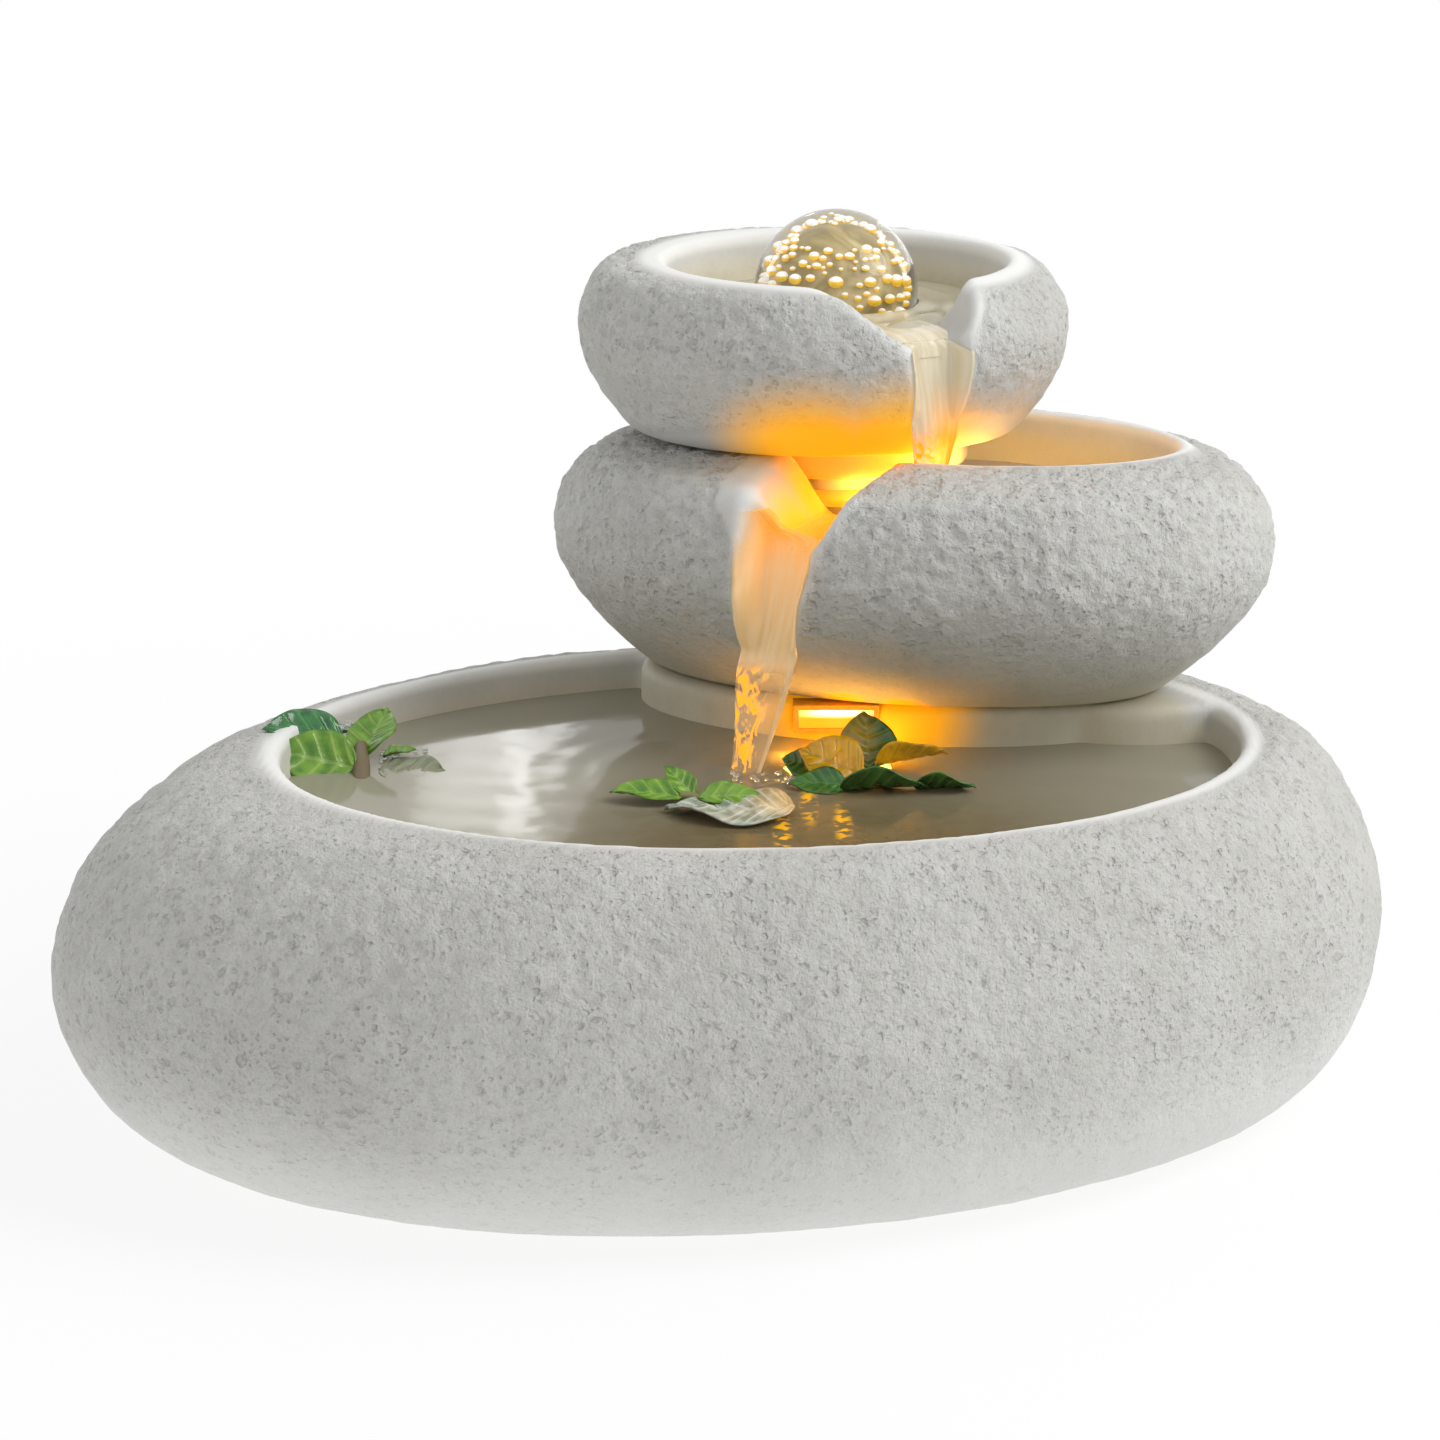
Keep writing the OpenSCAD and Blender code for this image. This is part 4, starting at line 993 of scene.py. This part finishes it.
def painted_highlight_and_glow(name, upper, lower, split, glow, **values):
    """Painted light: one colour on faces that look up, for a painted highlight, and another on those that
    look down, and both glow a little.
    """
    material, tree, shader = new_material(name, Emission_Strength=glow, **values)
    normal = axes(tree.nodes.new("ShaderNodeNewGeometry").outputs["Normal"])
    tone = mix_colour(ramp(normal["Z"], split - 0.18, split + 0.18), lower, upper)
    wire(shader, Base_Color=tone, Emission_Color=tone)
    return material


def whole(radius):
    return [((0, 0, 0), radius, 1.0)]


shell = ball_part("ball_shell", whole(ball_radius - 0.02 * MM), 72, 48)
dress(shell, new_material("ball_glass", Base_Color=(0.97, 0.98, 0.99), Roughness=0.0, IOR=1.4,
                          Transmission_Weight=1.0)[0])
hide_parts("glass_ball")

heart = ball_part("ball_heart", whole(ball_radius - 7.0 * MM), 72, 48)
# The heart glows a little in its own gold: painted light.
liquid, tree, shader = new_material("gold_liquid", Roughness=0.3, Specular_IOR_Level=0.3,
                                    Emission_Strength=0.18)
cloud = ramp(noise(object_coords(tree), 95.0, 3.0, Distortion=1.5), 0.35, 0.68)
gold = mix_colour(cloud, (0.3, 0.23, 0.09), (0.58, 0.47, 0.24))
wire(shader, Base_Color=gold, Emission_Color=gold)
dress(heart, liquid)

bubbles = ball_part("ball_bubbles", bubble_places(200, 24), 14, 10)
dress(bubbles, painted_highlight_and_glow("bubble_painted_light", (0.95, 0.95, 0.93), (0.98, 0.6, 0.02), 0.42, 0.25,
                        Roughness=0.15))
for piece in (shell, heart, bubbles):
    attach(piece, "ball")

# %% [markdown]
# ## Floating plants
# Three sprigs float in the basin. A leaf is a small grid bent along its midrib and folded across it,
# with a thickness of its own. Two attributes run along and across each leaf, and the leaf material
# draws its veins from them, so that the veins follow every bend.

# %% Leaf maker
def leaf_arrays(length, width, fold, droop, wave, twist, seed, columns=28, rows=13):
    """Points and the along and across attributes of one leaf that grows along +X from the origin."""
    rng = np.random.default_rng(seed)
    t = np.linspace(0, 1, columns)
    v = np.linspace(-1, 1, rows)
    along, across = np.meshgrid(t, v, indexing="ij")
    outline = np.sin(np.pi * along ** 0.8) ** 0.72 + 0.02
    half = width / 2 * outline
    x = length * (along - 0.04 * np.abs(across) * along)
    y = half * across
    z = fold * half * np.abs(across) ** 1.3 - droop * length * along ** 2
    z = z + wave * width * np.sin(along * 9 + rng.uniform(0, 6)) * across ** 2 * 0.4
    z = z + 0.03 * width * np.cos((along * 9 - np.abs(across) * 2.2) * np.pi) * (1 - np.abs(across)) ** 0.5
    turn = twist * along
    y, z = y * np.cos(turn) - z * np.sin(turn), y * np.sin(turn) + z * np.cos(turn)
    points = np.stack([x, y, z], -1).reshape(-1, 3)
    return points, along.ravel(), np.abs(across).ravel(), (columns, rows)


def placed(points, root, heading, pitch, roll):
    """Turns leaf points about their own axis, lifts the tip, faces a heading and moves the root."""
    for axis, angle in (("X", roll), ("Y", -pitch), ("Z", heading)):
        points = points @ np.array(Matrix.Rotation(math.radians(angle), 3, axis)).T
    return points + np.array(root) * MM


def sprig(name, material, leaves):
    """One mesh of leaves. Each is (place, heading, pitch, roll, length, width, fold, droop)."""
    points, faces, along, across = [], [], [], []
    for seed, (root, heading, pitch, roll, length, width, fold, droop) in enumerate(leaves):
        own, t, v, (columns, rows) = leaf_arrays(length * MM, width * MM, fold, droop, 0.1, 0.35, seed + 3)
        base = sum(len(part) for part in points)
        points.append(placed(own, root, heading, pitch, roll))
        along.append(t)
        across.append(v)
        for i in range(columns - 1):
            for a in range(base + i * rows, base + i * rows + rows - 1):
                faces.append((a, a + rows, a + rows + 1, a + 1))
    flat = add_mesh(name, np.concatenate(points).tolist(), faces)
    write_mask(flat.data, "leaf_along", np.concatenate(along))
    write_mask(flat.data, "leaf_across", np.concatenate(across))
    made = evaluated_copy(flat, name + "_leaves", [("SOLIDIFY", {"thickness": 0.35 * MM, "offset": 0.0})])
    bpy.data.objects.remove(flat)
    dress(made, material)
    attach(made, "base")


def stem(name, material, radius, path):
    """A round stem through some (place, share of the radius), as a mesh."""
    curve = bpy.data.curves.new(name, "CURVE")
    curve.dimensions = "3D"
    curve.bevel_depth = radius * MM
    curve.bevel_resolution = 4
    curve.resolution_u = 10
    curve.use_fill_caps = True
    line = curve.splines.new("BEZIER")
    line.bezier_points.add(len(path) - 1)
    for knot, (place, share) in zip(line.bezier_points, path):
        knot.co = Vector(place) * MM
        knot.radius = share
        knot.handle_left_type = knot.handle_right_type = "AUTO"
    source = add_object(name, curve)
    graph = bpy.context.evaluated_depsgraph_get()
    mesh = bpy.data.meshes.new_from_object(source.evaluated_get(graph))
    bpy.data.objects.remove(source)
    made = add_object(name, mesh)
    shade_smooth(mesh)
    dress(made, material)
    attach(made, "base")


# %% Leaf material
def leaf_group():
    """Vein pattern from the two leaf attributes: a midrib and paired side veins, with soft bays between."""
    tree, inp, out = new_group(
        "leaf_veins", [("Along", "f", 0.0), ("Across", "f", 0.0), ("Pairs", "f", 7.0)],
        [("Vein", "f"), ("Bay", "f")])
    across = inp["Across"]
    slant = times_plus(across, -0.22, inp["Along"])
    phase = times(slant, times(inp["Pairs"], 2 * math.pi))
    side = times_plus(math_node("COSINE", phase), 0.5, 0.5)
    vein = times(ramp(side, 0.86, 0.99), ramp(across, 0.8, 1.0, 1.0, 0.0))
    rib = ramp(across, 0.03, 0.11, 1.0, 0.0)
    wire(out, Vein=larger(vein, rib), Bay=side)
    return tree


LEAF_VEINS = leaf_group()


def leaf_material(name, dark, bright, vein, pairs, rough, warm=None, vein_share=0.26):
    """warm is None or (centre, radius, power) of lamp light on the leaves."""
    material, tree, shader = new_material(name, Roughness=rough, Specular_IOR_Level=0.55,
                                          Subsurface_Weight=0.08, Subsurface_Scale=0.002)
    pattern = place_group(LEAF_VEINS, Along=attribute(tree, "leaf_along"),
                          Across=attribute(tree, "leaf_across"), Pairs=pairs)
    coords = object_coords(tree)
    spots = ramp(noise(coords, 260.0, 3.0), 0.35, 0.65)
    tone = times_plus(spots, 0.55, times(pattern["Bay"], 0.25))
    base = mix_colour(tone, dark, bright)
    base = mix_colour(times(pattern["Vein"], vein_share), base, vein)
    if warm:
        centre, radius, power = warm
        glow = glow_mask(coords, centre, radius, 0.2)
        base = mix_colour(times(glow, 0.35), base, (1.0, 0.46, 0.0))
        wire(shader, Emission_Color=LIT_GOLD, Emission_Strength=times(glow, power))
    wire(shader, Base_Color=base)
    bump(shader, math_node("SUBTRACT", pattern["Bay"], pattern["Vein"]), 0.35, 0.25 * MM)
    return material


lamp_on_leaves = ((0.022, 0.006, 0.074), 11 * MM, 0.1)
lamp_on_lit = ((0.028, 0.0, 0.073), 21 * MM, 0.16)
lamp_on_pale = ((0.015, -0.026, 0.073), 14 * MM, 0.15)
glossy_leaf = leaf_material("glossy_leaf", (0.015, 0.12, 0.03), (0.06, 0.28, 0.08), (0.14, 0.38, 0.13),
                            5.0, 0.12)
bright_leaf = leaf_material("bright_leaf", (0.06, 0.2, 0.008), (0.25, 0.46, 0.04), (0.5, 0.64, 0.22),
                            5.0, 0.28)
dark_leaf = leaf_material("dark_leaf", (0.02, 0.1, 0.015), (0.07, 0.24, 0.035), (0.2, 0.36, 0.08),
                          6.0, 0.14, lamp_on_leaves)
lit_leaf = leaf_material("lit_leaf", (0.04, 0.08, 0.01), (0.95, 0.5, 0.01), (0.03, 0.07, 0.01),
                         5.0, 0.2, lamp_on_lit, 0.7)
pale_leaf = leaf_material("pale_leaf", (0.22, 0.26, 0.19), (0.66, 0.7, 0.6), (0.95, 0.96, 0.9),
                          11.0, 0.25, lamp_on_pale, 0.4)
sunken_leaf = leaf_material("sunken_leaf", (0.2, 0.22, 0.13), (0.3, 0.33, 0.2), (0.36, 0.4, 0.26), 6.0, 0.4)
stem_green = new_material("stem_green", Base_Color=(0.23, 0.22, 0.08), Roughness=0.4)[0]
stem_brown = new_material("stem_brown", Base_Color=(0.16, 0.12, 0.06), Roughness=0.45)[0]

# %% Left sprig
water = basin_level / MM
sprig("left_glossy", glossy_leaf, [
    ((-80, 12, water + 2.6), 205, 22, -44, 18, 13, 0.2, 0.1),
    ((-88, 16, water + 2.2), 24, 8, -30, 12, 6, 0.3, 0.1)])
sprig("left_bright", bright_leaf, [
    ((-76.5, 0.5, water + 0.8), 178, 13, -62, 17.5, 13, 0.12, 0.06),
    ((-75.5, 6, water + 1.6), 62, 42, -12, 13, 10.5, 0.3, 0.1),
    ((-71.5, 9, water + 0.8), 20, 12, -10, 7, 5, 0.3, 0.1)])
sprig("left_sunken", sunken_leaf, [((-72, 2, water - 0.35), -4, 0, 0, 14, 15, 0.0, 0.0)])
stem("left_stem", stem_brown, 1.8, [
    ((-76, 8, water + 3.4), 0.7), ((-75.6, 2, water + 1.2), 1.0), ((-74.8, -6, water - 2.6), 1.1)])

# %% Centre sprig
sprig("centre_bright", bright_leaf, [
    ((-9.5, -21, water + 1.0), 178, 8, -24, 14.5, 7.5, 0.4, 0.06),
    ((-7.0, -20, water + 1.0), 138, 34, -34, 9.5, 5.0, 0.35, 0.1),
    ((-6, -23, water + 1.6), 4, 3, 24, 13, 6.0, 0.35, 0.08)])
sprig("centre_pale", pale_leaf, [((13, -29, water + 1.2), 178, 0, -9, 26, 20, 0.04, 0.0)])
stem("centre_stem", stem_green, 0.9, [
    ((-9.6, -20.6, water + 1.3), 1.0), ((-7.5, -21, water + 1.2), 1.1), ((-5, -22.6, water + 1.2), 0.8)])

# %% Right sprig
sprig("right_dark", dark_leaf, [
    ((28.5, 0, water + 0.9), 92, 58, 8, 12.5, 12.5, 0.3, 0.1),
    ((18.5, -1, water + 1.0), 168, 16, -50, 8, 7.5, 0.25, 0.1),
    ((24, -12, water + 0.8), 178, 4, -38, 12, 7.5, 0.25, 0.05),
    ((22.5, -15, water + 1.4), 0, 4, -48, 17, 11, 0.25, 0.03),
    ((37.5, -13, water + 1.0), -4, 4, -42, 12.5, 9.5, 0.2, 0.05)])
sprig("right_lit", lit_leaf, [
    ((27, -5, water + 0.8), 164, 20, -56, 14, 12, 0.3, 0.06),
    ((30, 0, water + 1.8), 4, 12, -48, 15, 9.5, 0.35, 0.06),
    ((20, -2, water + 1.2), 60, 40, -40, 8, 7, 0.3, 0.06)])
stem("right_stem", stem_green, 0.9, [
    ((27, -4, water + 1.2), 1.0), ((30, -7, water + 0.8), 1.2), ((33, -11, water - 1.0), 0.8)])

# %% [markdown]
# Beads of water lie on the leaves and along the waterline. They are tiny lenses.

# %% Droplets
rng = random.Random(5)


def bead_places(count, x, y, z, size):
    """Random beads. Each value is one number or a (low, high) range, and heights are above the water."""
    beads = []
    for _ in range(count):
        at_x, at_y = rng.uniform(*x), rng.uniform(*y)
        at_z = rng.uniform(*z) if isinstance(z, tuple) else z
        beads.append((Vector((at_x, at_y, water + at_z)) * MM, rng.uniform(*size) * MM, 0.8))
    return beads


beads = bead_places(9, (-84, -77), (17, 21), (4.3, 5.0), (0.35, 0.7))
beads += bead_places(12, (-72, -63), (7, 16), 0.3, (0.4, 0.9))
beads += bead_places(16, (0, 14), (-9, -2), 0.5, (0.3, 0.7))
droplets = add_balls("water_beads", beads, 16, 10)
dress(droplets, new_material("bead_water", Base_Color=(0.96, 0.98, 0.97), Roughness=0.02, IOR=1.33,
                             Transmission_Weight=0.9)[0])
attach(droplets, "base")

# %% [markdown]
# ## The lamps
# The lamp under the middle bowl and the underwater light are both warm. Their lenses glow, hottest in
# the middle, and small lights in front of them do the lighting. Each light hangs on the body that
# carries the lamp, so it follows when a bowl is lifted.

# %% Lenses and lamp light
LAMP_COLOUR = (1.0, 0.6, 0.12)


def lens_material(name, centre, reach, hot, strip=None):
    """A lamp's lens. A strip (low, high) keeps the hottest part above a height."""
    material, tree, shader = new_material(name, Base_Color=(0.4, 0.16, 0.01), Roughness=0.35)
    coords = object_coords(tree)
    away = vector_math("DISTANCE", coords, centre)["Value"]
    core = ramp(away, 0.0, reach, 1.0, 0.0)
    if strip:
        core = times(core, ramp(axes(coords)["Z"], *strip))
    wire(shader, Emission_Color=mix_colour(core, (1.0, 0.4, 0.01), (1.0, 0.82, 0.42)),
         Emission_Strength=times_plus(core, hot, 1.0))
    return material


def lamp_light(name, body, place, power, radius):
    """A small warm light that hangs on a body."""
    data = bpy.data.lights.new(name, "POINT")
    data.energy = power
    data.color = LAMP_COLOUR
    data.shadow_soft_size = radius * MM
    lamp = add_object(name, data)
    lamp.location = Vector(place) * MM
    bpy.context.view_layer.update()
    world_place = lamp.matrix_world.copy()
    lamp.parent = frame["bodies"][body]
    lamp.matrix_world = world_place


lens_low, lens_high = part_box("lamp_lens")
lens_middle = (lens_low + lens_high) / 2
dress(nodes["lamp_lens"], lens_material(
    "lamp_lens_glow", (lens_middle.x, lens_middle.y, lens_high.z), 11 * MM, 4.0,
    (lens_high.z - 1.9 * MM, lens_high.z - 0.7 * MM)))
puck_low, puck_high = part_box("puck_lens")
dress(nodes["puck_lens"], lens_material("puck_lens_glow", tuple((puck_low + puck_high) / 2), 10 * MM, 5.0))
lamp_x, lamp_y = lens_middle.x / MM, lens_middle.y / MM - 12.0
for offset in (-9.6, 0, 9.6):
    lamp_light("lamp_light", "base", (lamp_x + offset, lamp_y, 72.5), 0.0024, 1.6)
for name, place, power in (("puck_light", (31, 34, 122), 0.007), ("puck_light_left", (27, 30, 122), 0.0015),
                           ("puck_light_right", (47, 30, 123), 0.021)):
    lamp_light(name, "middle", place, power, 3)

# %% [markdown]
# ## The pump and the small parts
# Nothing of the pump shows while the fountain stands, but it does when the bowls are lifted off. Each
# part gets the material it is made of: grained plastics, rubber, open foam, laminated steel, wound
# copper, ceramic and plated brass.

# %% Materials of the small parts
def moulded(name, colour, rough, grain=1.0, **values):
    """A moulded material with a fine surface grain."""
    material, tree, shader = new_material(name, Roughness=rough, **values)
    speck = noise(object_coords(tree), 900.0 / grain, 3.0, Roughness=0.6)
    darker = tuple(c * 0.82 for c in colour)
    wire(shader, Base_Color=mix_colour(ramp(speck, 0.3, 0.7), darker, colour))
    bump(shader, speck, 0.25, 0.12 * MM * grain)
    return material


def banded(name, light, dark, axis, pitch, depth, **values):
    """Fine bands across an axis, for stacked sheets and wound wire."""
    material, tree, shader = new_material(name, **values)
    phase = times(axes(object_coords(tree))[axis], 2 * math.pi / (pitch * MM))
    band = times_plus(math_node("SINE", phase), 0.5, 0.5)
    wire(shader, Base_Color=mix_colour(band, dark, light))
    bump(shader, band, 0.6, depth * MM)
    return material


def open_foam(name, colour):
    """Foam whose cells are holes painted dark: painted shade."""
    material, tree, shader = new_material(name, Roughness=0.95)
    cells = node(tree, "ShaderNodeTexVoronoi", Vector=object_coords(tree), Scale=900.0).outputs["Distance"]
    opening = ramp(cells, 0.1, 0.5, 1.0, 0.0)
    wire(shader, Base_Color=mix_colour(opening, colour, tuple(c * 0.25 for c in colour)))
    bump(shader, opening, 1.0, -0.4 * MM)
    return material


# %% A material for every small part
for material, names in (
    (moulded("black_plastic", (0.03, 0.032, 0.035), 0.45),
     "pump_housing pump_back volute_cover pump_cover light_socket light_plug"),
    (moulded("grey_plastic", (0.3, 0.29, 0.27), 0.42), "middle_pipe puck_housing"),
    (moulded("black_rubber", (0.035, 0.036, 0.04), 0.75, 1.6),
     "rubber_feet cord_grommet shaft_bushes volute_seal suction_cups pipe_seal"),
    (moulded("board_white", (0.8, 0.79, 0.74), 0.4), "lamp_board puck_board"),
    (moulded("wire_cover", (0.68, 0.66, 0.6), 0.5), "lamp_wire puck_wire"),
    (moulded("contact_metal", (0.8, 0.62, 0.32), 0.22, Metallic=1.0), "socket_contacts plug_pins"),
    (moulded("amber_plastic", (0.8, 0.4, 0.02), 0.5), "lamp_housing"),
    (moulded("white_plastic", (0.75, 0.75, 0.73), 0.35), "impeller"),
    (moulded("red_plastic", (0.5, 0.035, 0.03), 0.25), "flow_regulator"),
    (moulded("ferrite", (0.07, 0.07, 0.075), 0.38), "rotor_magnet"),
    (moulded("shaft_ceramic", (0.85, 0.84, 0.8), 0.12), "rotor_shaft"),
    (moulded("clear_vinyl", (0.86, 0.92, 0.92), 0.12, IOR=1.45, Transmission_Weight=0.85), "riser_tube"),
    (moulded("clear_acrylic", (0.9, 0.94, 0.93), 0.2, IOR=1.49, Transmission_Weight=0.8), "ball_seat"),
    (banded("laminated_steel", (0.5, 0.5, 0.5), (0.2, 0.2, 0.2), "X", 0.5, 0.1, Metallic=0.85,
            Roughness=0.4), "stator_core"),
    (banded("copper_winding", (0.78, 0.34, 0.14), (0.3, 0.1, 0.04), "Y", 0.42, 0.15, Metallic=0.7,
            Roughness=0.3), "stator_coil"),
    (open_foam("sponge_foam", (0.055, 0.06, 0.07)), "filter_sponge"),
):
    for name in names.split():
        dress(nodes[name], material)
print("materials:", len(bpy.data.materials))

# %% [markdown]
# ## Floor, lights and world
# A plain pale floor turns into pure white a little way off. One broad soft light stands on the upper
# right in an even white world. A bright window with two panes and two tall strips at the sides hang in
# the air, which only reflections can see: a sheen on the water and white arcs on the glass ball.

# %% Studio
def bare_material(name):
    """A material without any nodes. Returns (material, tree)."""
    material = bpy.data.materials.new(name)
    material.use_nodes = True
    material.node_tree.nodes.clear()
    return material, material.node_tree


def add_plane(name, size, material, **placing):
    bpy.ops.mesh.primitive_plane_add(size=size, **placing)
    plane = bpy.context.object
    plane.name = name
    dress(plane, material)
    return plane


def floor_material(name):
    """A pale floor near the fountain, pure white further out."""
    material, tree = bare_material(name)
    away = vector_math("LENGTH", object_coords(tree))["Value"]
    far = ramp(away, 0.16, 0.5, 0.84)
    diffuse = node(tree, "ShaderNodeBsdfDiffuse", Color=(0.92, 0.92, 0.92)).outputs[0]
    white = node(tree, "ShaderNodeEmission", Strength=1.0).outputs[0]
    mix = node(tree, "ShaderNodeMixShader", far, diffuse, white).outputs[0]
    node(tree, "ShaderNodeOutputMaterial", Surface=mix)
    return material


def glare(name, strength):
    """A plain light."""
    material, tree = bare_material(name)
    light = node(tree, "ShaderNodeEmission", Strength=strength).outputs[0]
    node(tree, "ShaderNodeOutputMaterial", Surface=light)
    return material


def soft_light(name, azimuth, elevation, distance, size, power):
    data = bpy.data.lights.new(name, "AREA")
    data.shape = "DISK"
    data.size = size
    data.energy = power
    lamp = add_object(name, data)
    lamp.location = from_angles(math.radians(azimuth), math.radians(elevation), distance)
    aim_at(lamp, AIM)


add_plane("studio_floor", 16, floor_material("floor_white"), location=(0, 0, -0.0002))
soft_light("key", 76, 42, 1.8, 1.2, 20)
bright_pane, dim_pane = glare("bright_pane", 6.0), glare("dim_pane", 3.2)
for name, place, turn, size, material in (
    ("window_sill", (-0.106, 1.2, 0.411), 0, (0.058, 0.022), bright_pane),
    ("window_tall", (-0.103, 1.2, 0.447), 0, (0.016, 0.05), bright_pane),
    ("window_side", (-0.133, 1.2, 0.44), 0, (0.038, 0.061), dim_pane),
    ("strip_left", (-0.62, 0.42, 0.3), 56, (0.12, 0.6), bright_pane),
    ("strip_right", (0.66, 0.42, 0.3), -56, (0.12, 0.6), bright_pane),
):
    pane = add_plane(name, 1, material, location=place, rotation=(math.pi / 2, 0, math.radians(turn)))
    pane.scale = (*size, 1)
    pane.visible_camera = pane.visible_diffuse = pane.visible_transmission = pane.visible_shadow = False

# %% World
world = bpy.data.worlds.new("studio_world")
bpy.context.scene.world = world
world.use_nodes = True
tree = world.node_tree
path = tree.nodes.new("ShaderNodeLightPath").outputs
seen = larger(path["Is Camera Ray"], path["Is Glossy Ray"])
seen = larger(seen, path["Is Transmission Ray"])
heading = axes(tree.nodes.new("ShaderNodeTexCoord").outputs["Generated"])
plain = ramp(heading["Y"], -0.8, 0.1, 0.49, 0.77)
wire(tree.nodes["Background"], Color=(1, 1, 1), Strength=larger(seen, plain))
bpy.context.scene.view_settings.view_transform = "Standard"
